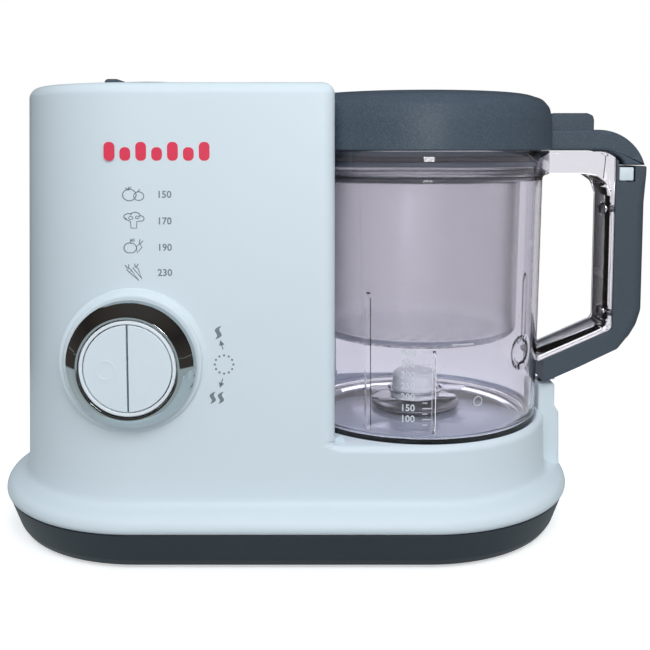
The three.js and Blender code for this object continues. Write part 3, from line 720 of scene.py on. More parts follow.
def noseHalf(z, flare=0.0):
    # front half of the tower's right side, from the tall corner to the middle of the hollow
    r, ri = housing["noseRadius"], housing["innerCorner"]
    out = []

    def add(x, y, nx, ny):
        push = flare * max(0.0, nx)
        out.append((x + nx * push, y + ny * push, z))

    for a in spread(-90, 0, 11)[1:]:
        c, s = math.cos(math.radians(a)), math.sin(math.radians(a))
        add(noseX + r * c, -wallRadius(z) + r + r * s, c, s)
    hubX = housing["towerRight"] - ri
    hubY = -math.sqrt((housing["recess"] + ri) ** 2 - (jarX - hubX) ** 2)
    add(housing["towerRight"], (hubY + r - wallRadius(z)) / 2, 1, 0)
    lean = math.degrees(math.atan2(-hubY, jarX - hubX))
    for a in spread(0, lean, 6):
        c, s = math.cos(math.radians(a)), math.sin(math.radians(a))
        add(hubX + ri * c, hubY + ri * s, c, s)
    for a in spread(180 + lean, 180, 25)[1:]:
        c, s = math.cos(math.radians(a)), math.sin(math.radians(a))
        add(jarX + housing["recess"] * c, housing["recess"] * s, -c, -s)
    return out


def mirrored(points):
    return [(x, -y, z) for x, y, z in points]


def towerLoop(z, flare=0.0):
    left = [(cx + wallRadius(z) * nx, wallRadius(z) * ny, z) for cx, nx, ny in leftColumns]
    half = noseHalf(z, flare)
    return left + mirrored(half)[:-1] + half[::-1]


def flareAt(z):
    up = housing["fillet"] - (z - housing["deckZ"])
    return housing["fillet"] - math.sqrt(housing["fillet"] ** 2 - up ** 2) if up > 0 else 0.0


def flangeRows():
    # the rolled flange that overhangs the tray, then the draughted wall
    nodes = [(74.9, 18.9), (75.6, 19.6), (76.0, 21.0), (75.8, 22.6), (75.1, 24.2), (73.7, 25.6),
             (71.2, 26.7), (68.9, 27.3), (67.2, 27.9), (66.1, 28.8), (65.5, 29.9), (wallRadius(31.5), 31.5)]
    rows = []
    for i in range(len(nodes) - 1):
        p = [Vector(nodes[max(0, min(len(nodes) - 1, i + k))]) for k in (-1, 0, 1, 2)]
        for t in (0.0, 0.25, 0.5, 0.75):
            a = 2 * p[1] + (p[2] - p[0]) * t
            b = (2 * p[0] - 5 * p[1] + 4 * p[2] - p[3]) * t * t
            c = (3 * p[1] - p[0] - 3 * p[2] + p[3]) * t ** 3
            rows.append(tuple((a + b + c) / 2))
    return rows + [(wallRadius(z), z) for z in spread(31.5, 50, 8)]


def deckEdge():
    # the foot of the tower's right side, then the seat's rim: what the deck meets on its inner side
    half = noseHalf(housing["deckZ"], housing["fillet"])
    start = (noseX, -wallRadius(housing["deckZ"]), housing["deckZ"])
    corner = [start] + half[:17]
    lean = math.atan2(corner[-1][1], corner[-1][0] - jarX)
    reach = math.hypot(corner[-1][0] - jarX, corner[-1][1])
    for t in (1 / 3, 2 / 3, 1):
        r = reach + (housing["seatRadius"] - reach) * t
        corner.append((jarX + r * math.cos(lean), r * math.sin(lean), housing["deckZ"]))
    seat = [math.degrees(lean)] + spread(math.degrees(lean), -90, 15)[1:]
    rim = [(jarX + housing["seatRadius"] * math.cos(math.radians(a)),
            housing["seatRadius"] * math.sin(math.radians(a)), housing["deckZ"])
           for a in seat[1:]]
    return corner, rim


def housingShape():
    corner, rim = deckEdge()
    along = [0.0]
    for a, b in zip(corner, corner[1:]):
        along.append(along[-1] + math.dist(a, b))
    stretchX = 20.5 / along[-1]
    frontX = [noseX + v * stretchX for v in along]
    frontX += spread(frontX[-1], jarX, len(rim) + 1)[1:]
    rightColumns = [(x, 0, -1) for x in frontX]
    turn = [math.radians(a) for a in spread(-90, 90, 73)]
    rightColumns += [(jarX, math.cos(a), math.sin(a)) for a in turn[1:-1]]
    rightColumns += [(x, 0, 1) for x in frontX[::-1]]
    inner = corner + rim
    inner += [(jarX + housing["seatRadius"] * math.cos(a), housing["seatRadius"] * math.sin(a),
               housing["deckZ"]) for a in turn[1:-1]]
    inner += mirrored(corner + rim)[::-1]

    # lower body, all the way round
    allColumns = leftColumns + rightColumns[::-1][1:-1]
    low = skin([[(cx + r * nx, r * ny, z) for cx, nx, ny in allColumns] for r, z in flangeRows()])

    # tower walls
    stepZ = spread(50, housing["deckZ"], 5)
    leftLow = skin([[(cx + wallRadius(z) * nx, wallRadius(z) * ny, z) for cx, nx,
                     ny in leftColumns] for z in stepZ],
                   closed=False)
    upZ = [housing["deckZ"] + v for v in (0, 0.12, 0.4, 0.85, 1.6)] + spread(60, springZ, 27)
    tower = skin([towerLoop(z, flareAt(z)) for z in upZ])

    # deck: wall, rolled lip, flat, seat rim
    rings = [[] for _ in range(13)]
    for (cx, nx, ny), end in zip(rightColumns, inner):
        gap = min(abs(cx - noseX), 40.0)
        lip = min(housing["lip"], 0.32 * gap)
        top = housing["deckZ"] - lip
        for k, z in enumerate(spread(50, top, 5)):
            rings[k].append((cx + wallRadius(z) * nx, wallRadius(z) * ny, z))
        for k in range(1, 6):
            a = math.radians(18 * k)
            r = wallRadius(top) - lip * (1 - math.cos(a))
            rings[4 + k].append((cx + r * nx, r * ny, top + lip * math.sin(a)))
        last = rings[9][-1]
        for k, t in enumerate((1 / 3, 2 / 3, 1)):
            rings[10 + k].append(tuple(last[i] + (end[i] - last[i]) * t for i in range(3)))
    deck = skin(rings, closed=False)

    # crescent of floor between the hollow side and the seat
    foot = noseHalf(housing["deckZ"], housing["fillet"])[16:]
    foot = foot + mirrored(foot[:-1])[::-1]
    crescent = []
    for t in spread(0, 1, 4):
        row = []
        for x, y, z in foot:
            r, a = math.hypot(x - jarX, y), math.atan2(y, x - jarX)
            r = r + (housing["seatRadius"] - r) * t
            row.append((jarX + r * math.cos(a), r * math.sin(a), z))
        crescent.append(row)
    crescent = skin(crescent, closed=False)

    # seat and drive well, about the jar's axis
    around = [math.atan2(y, x - jarX) for x, y, z in foot]
    around += [math.atan2(y, x - jarX) for x, y, z in inner[len(corner) - 1:len(inner) - len(corner) + 1]]
    around = sorted(set(round(a % (2 * math.pi), 7) for a in around))
    seatR, wellR = housing["seatRadius"], housing["wellRadius"]
    seatZ, wellZ = housing["seatZ"], housing["wellZ"]
    down = [(seatR, housing["deckZ"]), (seatR - 0.15, housing["deckZ"] - 0.5), (seatR - 0.2, seatZ + 1.2),
            (seatR - 0.5, seatZ + 0.4), (seatR - 1.2, seatZ), (40, seatZ), (wellR + 1.2, seatZ),
            (wellR + 0.35, seatZ - 0.35), (wellR, seatZ - 1.2), (wellR, wellZ + 1), (wellR - 1, wellZ),
            (9, wellZ), (5.2, wellZ), (5, wellZ - 0.3), (5, wellZ - 1.5)]
    seat = skin([[(jarX + r * math.cos(a), r * math.sin(a), z) for a in around] for r, z in down])

    # crown: the height over the plan follows the distance from the wall
    loopTop = np.array(towerLoop(springZ))
    ends = np.roll(loopTop, -1, axis=0)
    axisPoint = np.array([towerX, 0.0])
    offsets = (0, 0.06, 0.25, 0.6, 1.1, 1.75, 2.5, 3.4, 4.4, 5.6, 7.2, 9.5, 12.5, 16.5)
    crown = []
    for step in offsets:
        ray = axisPoint - loopTop[:, :2]
        length = np.linalg.norm(ray, axis=1, keepdims=True)
        point = loopTop[:, :2] + ray / length * step
        a, b = loopTop[None, :, :2], ends[None, :, :2]
        p = point[:, None, :]
        along = np.clip(((p - a) * (b - a)).sum(2) / np.maximum(((b - a) ** 2).sum(2), 1e-9), 0, 1)
        away = np.sqrt((((a + (b - a) * along[..., None]) - p) ** 2).sum(2)).min(1)
        away = np.minimum(away, housing["topRound"])
        high = springZ + np.sqrt(np.maximum(0,
                                            housing["topRound"] ** 2 - (housing["topRound"] - away) ** 2))
        crown.append([(float(x), float(y), float(z)) for (x, y), z in zip(point, high)])
    for r, z in ((0.8, 0), (0.25, -0.15), (0.03, -0.6), (0, -1.2), (0, -5), (0, -9)):
        row = []
        for x, y, _ in towerLoop(springZ):
            a = math.atan2(y, x - towerX)
            row.append((towerX + (housing["capHole"] + r) * math.cos(a),
                        (housing["capHole"] + r) * math.sin(a), topZ + z))
        crown.append(row)
    return joined(low, leftLow, tower, deck, crescent, seat, skin(crown))


def ventSlots():
    # stadium cutters for the rear vent, one above another
    slots = []
    for i in range(4):
        z = 60 + 7 * i
        slots.append(slab(rounded([(-108, z), (-68, z), (-68, z + 2.6), (-108, z + 2.6)], 1.29, 5), "Y",
                          40, 80, 0))
    return joined(*slots)


shell = loose("main_housing_shell", housingShape())
wall = shell.modifiers.new("wall", "SOLIDIFY")
wall.thickness = housing["wall"] * mm
wall.offset = -1
bake(shell)
print("housing wall", len(shell.data.polygons))
carve(shell, ventSlots())

# the knob stands in a short raised collar, and the interlock post stands on the deck's right end
knob = dict(ring=28.6, collar=30.5, bore=24.0, collarFront=-66.2, front=layout["knobFront"],
            z=layout["knobZ"], button=19.0, split=0.7)
carve(shell, disc((towerX, 0, knob["z"]), knob["bore"], -72, -55, "Y", 0, 96))
post = dict(left=109.3, right=118.0, half=8.4, top=68.0, footRight=120.2)
carve(shell, brick(110.6, 116, -3.2, 3.2, 30, 75, 0, 0.3))


def collarShape():
    wallY = -wallRadius(knob["z"])
    profile = rounded([(knob["bore"], wallY + 3, 0), (knob["bore"], knob["collarFront"], 0.4),
                       (knob["collar"], knob["collarFront"], 1.1),
                       (knob["collar"] + 0.25, wallY - 0.6, 1.2),
                       (knob["collar"] + 3.2, wallY + 0.35, 0.5), (knob["collar"] + 1, wallY + 1.8, 0)],
                      0.5, 6)
    return lathe(profile, (towerX, 0, knob["z"]), "Y", 128)


def postShape():
    outline = rounded([(post["left"], 25, 0), (post["footRight"] + 0.6, 25, 2),
                       (post["footRight"], 53.2, 1.5), (post["right"], 56.6, 2.2),
                       (post["right"] - 0.15, post["top"], 1.1), (post["left"], post["top"], 1.1)], 1, 5)
    return slab(outline, "Y", -post["half"], post["half"], 1.3, 5)


postBlock = loose("post_block", postShape())
carve(postBlock, brick(110.6, 116, -3.2, 3.2, 20, 75, 0, 0.3))
collar = loose("collar_ring", collarShape())


def combine(first, *rest):
    # several items become one mesh
    work = bmesh.new()
    for each in (first, *rest):
        work.from_mesh(each.data)
    work.to_mesh(first.data)
    work.free()
    for each in rest:
        bpy.data.objects.remove(each)
    first.data.polygons.foreach_set("use_smooth", [True] * len(first.data.polygons))
    first.data.set_sharp_from_angle(angle=math.radians(35))
    return first


combine(shell, postBlock, collar)
settle(shell, finish["coolWhiteShell"], "housing", ["main_housing"], flow=True)
print("housing", len(shell.data.polygons))


# base tray, feet, screws
tray = dict(top=18.6, topRadius=74.95)


def trayShape():
    span = [(x, 0, -1) for x in spread(towerX, jarX, 25)]
    right = [math.radians(a) for a in spread(-90, 90, 65)[1:-1]]
    left = [math.radians(a) for a in spread(90, 270, 65)[1:-1]]
    span += [(jarX, math.cos(a), math.sin(a)) for a in right]
    span += [(x, 0, 1) for x in spread(jarX, towerX, 25)]
    span += [(towerX, math.cos(a), math.sin(a)) for a in left]
    profile = rounded([(0.01, 2.4, 0), (58, 2.4, 0.6), (59, 1.6, 0.6), (67.8, 1.6, 2.4), (70.2, 5.2, 3),
                       (tray["topRadius"], tray["top"], 0.6), (72.4, tray["top"], 0.4), (68.4, 5.2, 2),
                       (62, 5.0, 0), (0.01, 5.0, 0)], 0.5, 5)
    rings = [[(cx + r * nx, r * ny, z) for cx, nx, ny in span] for r, z in profile]
    return skin(rings, loop=True)


piece("tray_shell", trayShape(), finish["darkTray"], "housing", ["base_tray"], flow=True)

footCentres = [tuple(middle(f"foot_{i}", a) for a in (0, 1)) for i in range(1, 5)]
footPart = loose("foot_part", lathe(rounded([(0, 0.5, 0), (4.5, 0.5, 0.4), (5.0, 0, 0.2), (7.2, 0, 0.9),
                                             (8, 1.2, 0.5), (8, 3, 0.2), (0, 3, 0)], 0.3, 3), (0, 0, 0),
                                    "Z", 40))
feet = grown("rubber_feet", scatter, {"Part": footPart, "Material": finish["softRubber"]},
             [(x, y, 0) for x, y in footCentres])
settle(feet, finish["softRubber"], "housing", [f"foot_{i}" for i in range(1, 5)])

screwLook = dict(head=3.1, height=1.9, slotWidth=0.9, recess=1.0)


def screwShape(look, length=6.0):
    # a pan head with a cross recess, looking down its own -Z
    profile = rounded([(0, 0, 0), (look["head"] * 0.86, 0, 0.5), (look["head"], look["height"] * 0.6, 0.5),
                       (look["head"], look["height"], 0.1), (1.25, look["height"], 0.1),
                       (1.25, length, 0.3), (0, length, 0)], 0.2, 3)
    return lathe(profile, (0, 0, 0), "Z", 28)


def screwPart(name, look, length):
    made = loose(name, screwShape(look, length))
    w, r = look["slotWidth"] / 2, look["head"] * 0.62
    cross = [(-r, -w), (-w, -w), (-w, -r), (w, -r), (w, -w), (r, -w), (r, w), (w, w), (w, r), (-w, r),
             (-w, w), (-r, w)]
    return carve(made, slab(cross, "Z", -1, look["recess"], 0))


lowX, lowY, lowZ = boxMm("base_screw_1")[0]
baseScrews = [(middle(f"base_screw_{i}", 0), middle(f"base_screw_{i}", 1), lowZ) for i in range(1, 5)]
screwHigh = boxMm("base_screw_1")[1][2] - lowZ
screwItem = screwPart("screw_part", screwLook, screwHigh)
screws = grown("base_screws", scatter, {"Part": screwItem, "Uneven turn": 1.5, "Seed": 3,
                                        "Material": finish["turnedSteel"]}, baseScrews)
settle(screws, finish["turnedSteel"], "housing", [f"base_screw_{i}" for i in range(1, 5)])
bpy.data.objects.remove(footPart)
bpy.data.objects.remove(screwItem)
print("tray, feet and screws")


# control knob
def knobRing():
    profile = rounded([(23.4, -66.9, 0.2), (28.3, -66.9, 0.3), (28.6, -68.6, 0.8), (27.7, -70.2, 1.0),
                       (23.9, -74.9, 1.2), (22.6, -76.0, 0.5), (21.5, -75.9, 0.25), (21.5, -73.8, 0.2),
                       (23.4, -73.2, 0.2)], 0.3, 7)
    return lathe(profile, (towerX, 0, knob["z"]), "Y", 160)


def ringCarrier():
    profile = rounded([(21.4, -72.9), (23.0, -72.9), (23.0, -47), (21.4, -47)], 0.3, 3)
    return lathe(profile, (towerX, 0, knob["z"]), "Y", 64)


def bezelShape():
    profile = rounded([(19.4, knob["front"] + 0.1, 0.3), (20.9, knob["front"] + 0.1, 0.5),
                       (20.9, -46.4, 0.2), (19.4, -46.4, 0.2)],
                      0.3, 5)
    return lathe(profile, (towerX, 0, knob["z"]), "Y", 128)


def halfMoon(side):
    # one half of the round face, with a stem behind it
    lean = math.degrees(math.acos(knob["split"] / 2 / knob["button"]))
    edge = arc(0, 0, knob["button"], -lean, lean, 40)
    outline = rounded([(x, z, 0) for x, z in edge], 0, 0)
    outline = [(towerX + side * x, knob["z"] + z) for x, z in outline]
    if side < 0:
        outline = outline[::-1]
    face = slab(outline, "Y", -75.7, -71.7, 0.5, 4)
    stem = disc((towerX + side * 9, 0, knob["z"]), 2.6, -72.2, -60.6, "Y", 0.3, 24)
    return joined(face, stem)


def strokes(path, width, closed=False):
    # a flat line of even width in the plane
    points = [Vector(p) for p in path]
    count = len(points)
    left, right = [], []
    for i, p in enumerate(points):
        a = points[i - 1] if (i or closed) else None
        b = points[(i + 1) % count] if (i < count - 1 or closed) else None
        d = ((b if b is not None else p) - (a if a is not None else p)).normalized()
        n = Vector((-d.y, d.x)) * width / 2
        left.append(tuple(p + n))
        right.append(tuple(p - n))
    faces = []
    for i in range(count if closed else count - 1):
        j = (i + 1) % count
        faces.append([i, j, count + j, count + i])
    return left + right, faces


def raised(flat, place, height):
    # a flat set of faces lifted off a surface: place(x, z, lift) gives the point
    points, faces = flat
    count = len(points)
    solid = [place(x, z, height) for x, z in points] + [place(x, z, -0.15) for x, z in points]
    edges = {}
    for face in faces:
        for a, b in zip(face, face[1:] + face[:1]):
            edges[(a, b)] = True
    walls = [[a, b, b + count, a + count] for a, b in edges if (b, a) not in edges]
    return solid, faces + [[i + count for i in face[::-1]] for face in faces] + walls


def together(*flats):
    points, faces = [], []
    for somePoints, someFaces in flats:
        start = len(points)
        points += somePoints
        faces += [[i + start for i in face] for face in someFaces]
    return points, faces


def onButton(x, z, lift):
    return (towerX + x, -75.7 - lift, knob["z"] + z)


marksOnButtons = dict(ring=4.0, line=0.9, markZ=-0.6, offX=-9.4, onX=7.5, raised=0.16)
ringMark = strokes(arc(marksOnButtons["offX"], marksOnButtons["markZ"], marksOnButtons["ring"], 0, 354,
                       40), marksOnButtons["line"], closed=True)
barMark = strokes([(marksOnButtons["onX"], marksOnButtons["markZ"] - marksOnButtons["ring"]),
                   (marksOnButtons["onX"], marksOnButtons["markZ"] + marksOnButtons["ring"])],
                  marksOnButtons["line"])
offShape = joined(halfMoon(-1), raised(ringMark, onButton, marksOnButtons["raised"]))
onShape = joined(halfMoon(1), raised(barMark, onButton, marksOnButtons["raised"]))
piece("speed_ring_chrome", knobRing(), finish["brightChrome"], "speed_ring", ["speed_ring"],
      crease=50)
piece("ring_carrier_sleeve", ringCarrier(), finish["satinWhite"], "speed_ring",
      ["ring_carrier"])
piece("button_bezel_ring", bezelShape(), finish["bezelWhite"], "housing", ["button_bezel"])
piece("off_half_moon", offShape, finish["satinWhite"], "off_button", ["off_button"],
      flow=True)
piece("on_half_moon", onShape, finish["satinWhite"], "on_button", ["on_button"], flow=True)
print("knob")


# tank cap
cap = dict(radius=36.9, top=219.0, skirt=207.8, tabHalf=8.0)


def capShape():
    profile = rounded([(0, 219.0, 0), (20, 218.7, 0), (30, 217.9, 0), (35.2, 216.7, 2),
                       (cap["radius"], 215.4, 1.2), (cap["radius"], 213.8, 0.3), (32.6, 213.4, 0.4),
                       (32.6, cap["skirt"], 0.5), (30.4, cap["skirt"], 0.5), (30.4, 212.6, 1.0),
                       (0, 213.2, 0)], 0.4, 5)
    top = lathe(profile, (towerX, 0, 0), "Z", 96)
    outline = rounded([(-108.4, 215.2, 0), (-107.6, 221.1, 1.8), (-101.8, 221.1, 2.2), (-92.2, 217.2, 2.0),
                       (-92.2, 215.2, 0)],
                      1, 5)
    return joined(top, slab(outline, "Y", -cap["tabHalf"], cap["tabHalf"], 1.2, 4))


piece("tank_cap_lid", capShape(), finish["speckledLid"], "tank_cap", ["tank_cap"],
      flow=True)
print("tank cap")


# jar
jar = dict(lowRadius=60.3, highRadius=62.0, lowZ=53.0, highZ=174.9, wallThick=2.3, collarRadius=65.3,
           collarInner=63.2, collarTop=185.7, boreRadius=14.5,
           # ribs inside the wall: angle round the axis, half width in degrees, foot and head heights
           ribs=((-117.0, 1.25, 57.0, 121.9), (-87.6, 0.7, 58.5, 96.0), (-38.0, 1.4, 99.0, 127.7)),
           ribHeight=0.9, pocket=(-39.6, 7.0, 91.4, 6.3))


def jarRadius(z):
    low, high, lowZ = jar["lowRadius"], jar["highRadius"], jar["lowZ"]
    return low + (high - low) * (z - lowZ) / (jar["highZ"] - lowZ)


def ramp(value, low, high):
    t = max(0.0, min(1.0, (value - low) / (high - low)))
    return t * t * (3 - 2 * t)


def ribAt(angle, z):
    # how far the inner wall stands in at this place
    high = 0.0
    for centre, half, foot, head in jar["ribs"]:
        across = abs((angle - centre + 180) % 360 - 180)
        # the head of each rib is round
        overHead = max(0.0, z - (head - half * 1.06)) / 1.06
        across = math.hypot(across, overHead)
        high = max(high, (1 - ramp(across, half * 0.72, half * 1.25)) * ramp(z, foot - 1, foot + 1))
    centre, wide, middleZ, tall = jar["pocket"]
    across = ((angle - centre + 180) % 360 - 180) / wide
    ringAway = abs(math.hypot(across, (z - middleZ) / tall) - 1)
    return jar["ribHeight"] * max(high, 0.8 * (1 - ramp(ringAway, 0.06, 0.2)))


def jarShape():
    angles = set(round(a, 3) for a in spread(0, 357.5, 144))
    for centre, half, _, _ in jar["ribs"]:
        angles |= set(round((centre + half * t) % 360, 3) for t in spread(-1.5, 1.5, 13))
    centre, wide = jar["pocket"][:2]
    angles |= set(round((centre + wide * t) % 360, 3) for t in spread(-1.3, 1.3, 53))
    angles = sorted(angles)
    inner = [(jarRadius(z) - jar["wallThick"], z, True) for z in spread(173.4, 60, 112)]
    outer = [(jarRadius(z), z, False) for z in spread(56, 171.5, 14)]
    foot = [(jar["boreRadius"], 52.6), (54.6, 52.6), (55.6, 52.3), (56.6, 51.85), (57.2, 51.75),
            (59.2, 51.75), (59.9, 52.1), (60.25, 52.8)]
    out, into, top = jar["collarRadius"], jar["collarInner"], jar["collarTop"]
    rise = [(62.05, 172.4), (62.35, 173.3), (63.1, 173.95), (64.3, 174.25), (65.0, 174.6), (out, 175.3),
            (out, 180), (out, 184.9), (65.05, 185.5), (64.5, top), (63.9, top), (63.4, 185.5), (into, 185.0),
            (into, 180), (into, 175.7), (62.95, 175.1), (62.4, 174.9), (60.6, 174.9), (59.9, 174.6)]
    floor = [(57.95, 58.6), (57.6, 57.3), (56.9, 56.3), (55.8, 55.65), (54.4, 55.4), (35, 55.4),
             (jar["boreRadius"], 55.4)]
    profile = [(r, z, False) for r, z in foot] + outer + [(r, z, False) for r, z in rise] + inner
    profile += [(r, z, False) for r, z in floor]
    rings = []
    for r, z, ribbed in profile:
        ring = []
        for a in angles:
            c, s = math.cos(math.radians(a)), math.sin(math.radians(a))
            reach = r - (ribAt(a, z) if ribbed else 0)
            ring.append((jarX + reach * c, reach * s, z))
        rings.append(ring)
    return skin(rings, loop=True)


grip = dict(half=13.5, innerX=141.5, lining=2.5, outerX=layout["gripOut"], slope=0.45, gap=0.3,
            cornerX=135.5, cornerZ=172.0, topRadius=13.3, coverWall=2.2, screwZ=(104.1, 156.6))


def lowTop(x):
    return 84.3 + grip["slope"] * (x - 109.5)


def liningShape():
    back = grip["innerX"] + grip["lining"]
    outline = [(110.9, 174.4, 0), (128, 174.4, 0), (134.4, 173.6, 4), (139.4, 170.2, 5), (141.5, 163.8, 4),
               (grip["innerX"], lowTop(grip["innerX"]), 3.5), (107.4, lowTop(107.4), 0.6),
               (107.4, lowTop(107.4) - 2.8, 0.6), (back, lowTop(back) - 2.8, 2.5), (back, 182.0, 0)]
    outline += [(x, z, 0) for x, z in arc(grip["cornerX"], grip["cornerZ"], grip["topRadius"], 50.3, 90,
                                          8)] + [(110.9, 185.3, 0)]
    return slab(rounded(outline, 1, 5), "Y", -grip["half"], grip["half"], 0.7, 4)


def rampLine():
    # the lid's lead-in ramp on the collar
    points = []
    for i, t in enumerate(spread(0, 1, 13)):
        a = math.radians(-47.2 + 10.3 * t)
        points.append((jarX + 65.25 * math.cos(a), 65.25 * math.sin(a), 185.0 - 6.0 * t))
    return points


jarGlass = loose("jar_bowl", jarShape(), 50)
lining = loose("lining", liningShape())
for z in grip["screwZ"]:
    carve(lining, disc((0, 0, z), 3.4, 130, grip["innerX"] + 1.2, "X", 0, 32))
    carve(lining, disc((0, 0, z), 1.8, 130, 160, "X", 0, 24))
path = rampLine()
leadIn = grown("lead_in", alongLine, {"Radius": 0.35 * mm, "Sides": 10, "Material": finish["clearJar"]},
               path, [(i, i + 1) for i in range(len(path) - 1)])
combine(jarGlass, lining, leadIn)
settle(jarGlass, finish["clearJar"], "jar", ["jar"])
print("jar", len(jarGlass.data.polygons))


# volume scale on the jar: plain numbers and short lines
scaleMarks = dict(top=95.9, step=5.02, values=(400, 350, 300, 250, 200, 150, 100), tickStart=-92.6,
                  tickEnd=-88.9, digitsAt=-98.8, digitHeight=3.1, lineHeight=0.4, lift=0.12)


def textFlat(words, height):
    # filled letters in the plane, centred, from a text curve turned into a mesh
    curve = bpy.data.curves.new("digits", "FONT")
    curve.body = words
    curve.size = height / 0.72
    curve.align_x = "CENTER"
    curve.align_y = "CENTER"
    curve.resolution_u = 3
    curve.offset = 0.018 * curve.size
    holder = bpy.data.objects.new("digits", curve)
    scene.collection.objects.link(holder)
    bpy.context.view_layer.update()
    mesh = bpy.data.meshes.new_from_object(holder.evaluated_get(bpy.context.evaluated_depsgraph_get()))
    bpy.data.objects.remove(holder)
    points = [(v.co.x, v.co.y) for v in mesh.vertices]
    faces = [list(p.vertices) for p in mesh.polygons]
    bpy.data.meshes.remove(mesh)
    return points, faces


def moved(flat, x, z):
    return [(px + x, pz + z) for px, pz in flat[0]], flat[1]


def onJar(x, z, lift):
    # x is measured round the wall from the front, in millimetres
    r = jarRadius(z) + lift
    a = math.radians(-90) + x / jarRadius(z)
    return (jarX + r * math.cos(a), r * math.sin(a), z)


def roundJar(angle):
    return math.radians(angle + 90) * 61


jarPrint = []
for i, value in enumerate(scaleMarks["values"]):
    z = scaleMarks["top"] - scaleMarks["step"] * i
    jarPrint.append(moved(textFlat(str(value), scaleMarks["digitHeight"]),
                          roundJar(scaleMarks["digitsAt"]), z))
    for half in (0, 0.5):
        wide = (scaleMarks["tickEnd"] - scaleMarks["tickStart"]) * (0.55 if half else 1)
        x0, x1 = roundJar(scaleMarks["tickStart"]), roundJar(scaleMarks["tickStart"] + wide)
        low = z - scaleMarks["step"] * half
        jarPrint.append(strokes([(v, low) for v in spread(x0, x1, 5)], scaleMarks["lineHeight"]))
jarPrint.append(strokes([(v, 99.6) for v in spread(roundJar(-80.2), roundJar(-70.6), 9)], 0.55))
jarPrint.append(strokes([(roundJar(-68.1) + x, 73 + z) for x, z in arc(0, 0, 2.1, 0, 348, 24)], 0.35,
                        closed=True))
piece("jar_volume_marks", raised(together(*jarPrint), onJar, scaleMarks["lift"]), finish["paleInk"], "jar",
      crease=60)
print("volume scale")


# steam basket
basket = dict(floorZ=95.0, topZ=177.2, lowRadius=50.2, highRadius=51.4,
              holeRings=((1, 0), (8, 10), (14, 19), (20, 28), (26, 37)), hole=2.2)


def basketShape():
    floorZ, rimZ = basket["floorZ"], basket["topZ"]
    profile = rounded([(0, floorZ, 0), (47.4, floorZ, 1.5), (basket["lowRadius"], 97.6, 2.5),
                       (basket["highRadius"], 172, 2.5), (56, 175.2, 1.5), (62.8, 175.2, 0.5),
                       (62.8, rimZ, 0.7), (55.2, rimZ, 2.0),
                       (49.4, 173.0, 3.0), (48.3, 98.6, 2.5), (46.4, 97.0, 1.5),
                       (0, 97.0, 0)], 0.5, 6)
    return lathe(profile, (jarX, 0, 0), "Z", 144)


basketItem = loose("steam_basket_shell", basketShape(), 45)
holePart = loose("hole_part", disc((0, 0, 96), basket["hole"], -4, 4, "Z", 0, 16))
holeAt = [(jarX + r * math.cos(2 * math.pi * i / n), r * math.sin(2 * math.pi * i / n), 0)
          for n, r in basket["holeRings"] for i in range(n)]
holeCutters = grown("hole_cutters", scatter, {"Part": holePart, "Material": finish["hazyBasket"]}, holeAt)
drill = basketItem.modifiers.new("drill", "BOOLEAN")
drill.operation = "DIFFERENCE"
drill.object = holeCutters
drill.solver = "MANIFOLD"
bake(basketItem, 45)
bpy.data.objects.remove(holeCutters)
bpy.data.objects.remove(holePart)
settle(basketItem, finish["hazyBasket"], "basket", ["steam_basket"])
print("basket", len(basketItem.data.polygons))


# handle: dark cover, screws, rod and spring
def coverOutline():
    join = grip["innerX"] + grip["lining"] + grip["gap"]

    def joinZ(x):
        return lowTop(x) - 2.8 - grip["gap"]

    def bottomZ(x):
        return 69.6 + grip["slope"] * (x - 110)

    out = grip["outerX"]
    outer = [(110, joinZ(110), 0.4), (join, joinZ(join), 0.8), (join, 181.7, 0)]
    outer += [(x, z, 0) for x, z in arc(grip["cornerX"], grip["cornerZ"], grip["topRadius"], 44, 28.3, 4)]
    outer += [(out, 178.2, 0.8), (out, 174, 0), (out, 168, 0), (out, 160, 0), (out, 106.5, 9),
              (out - 2.2, 99, 9), (out - 6, 92.4, 9), (out - 12, 87.2, 9), (128, bottomZ(128), 0),
              (120, bottomZ(120), 0), (110, bottomZ(110), 1.2)]
    wall = grip["coverWall"]
    inner = [(110, joinZ(110) + 1), (join - 1, joinZ(join)), (join - 1, 176), (out - wall, 176),
             (out - wall, 107.5, 7), (out - 4.8, 100.4, 6), (out - 8.4, 93.8, 6), (out - 13, 89.6, 4),
             (112.4, bottomZ(112.4) + 2.5), (112.4, 76)]
    return rounded(outer, 0.6, 5), rounded(inner, 0.3, 4), join


coverOuter, coverInner, joinX = coverOutline()


def coverEdge(x, z):
    # the outer edge of the grip is rolled far more than the joint with the clear lining
    off = min(x - joinX, lowTop(x) - 3.1 - z) if z < 97 else x - joinX
    return 0.35 + 4.4 * ramp(off, 2.0, 8.0) * ramp(x, 111, 124) * (1 - 0.75 * ramp(z, 160, 176))


cover = loose("handle_cover_shell", slab(coverOuter, "Y", -grip["half"], grip["half"],
                                         [coverEdge(*p) for p in coverOuter], 7))
carve(cover, slab(coverInner, "Y", -grip["half"] + grip["coverWall"], grip["half"] - grip["coverWall"], 0))
bosses = joined(*[disc((0, 0, z), 3.8, joinX + 0.02, grip["outerX"] - 1, "X", 0,
                       32) for z in grip["screwZ"]],
                brick(joinX + 0.02, grip["outerX"] - 1, -3.4, grip["half"] - 1, 121.2, 125.2, 0, 0.3))
carve(cover, bosses, "UNION")
carve(cover, joined(*[disc((0, 0, z), 1.75, 130, 155, "X", 0, 24) for z in grip["screwZ"]],
                    brick(145.4, 153.7, -20, -6.2, 170.6, 190, 0, 0.6),
                    brick(111.2, 118.2, -9.9, 3.6, 60, 82, 0, 0.6)))
settle(cover, finish["handleDark"], "jar", ["handle_cover"], flow=True)

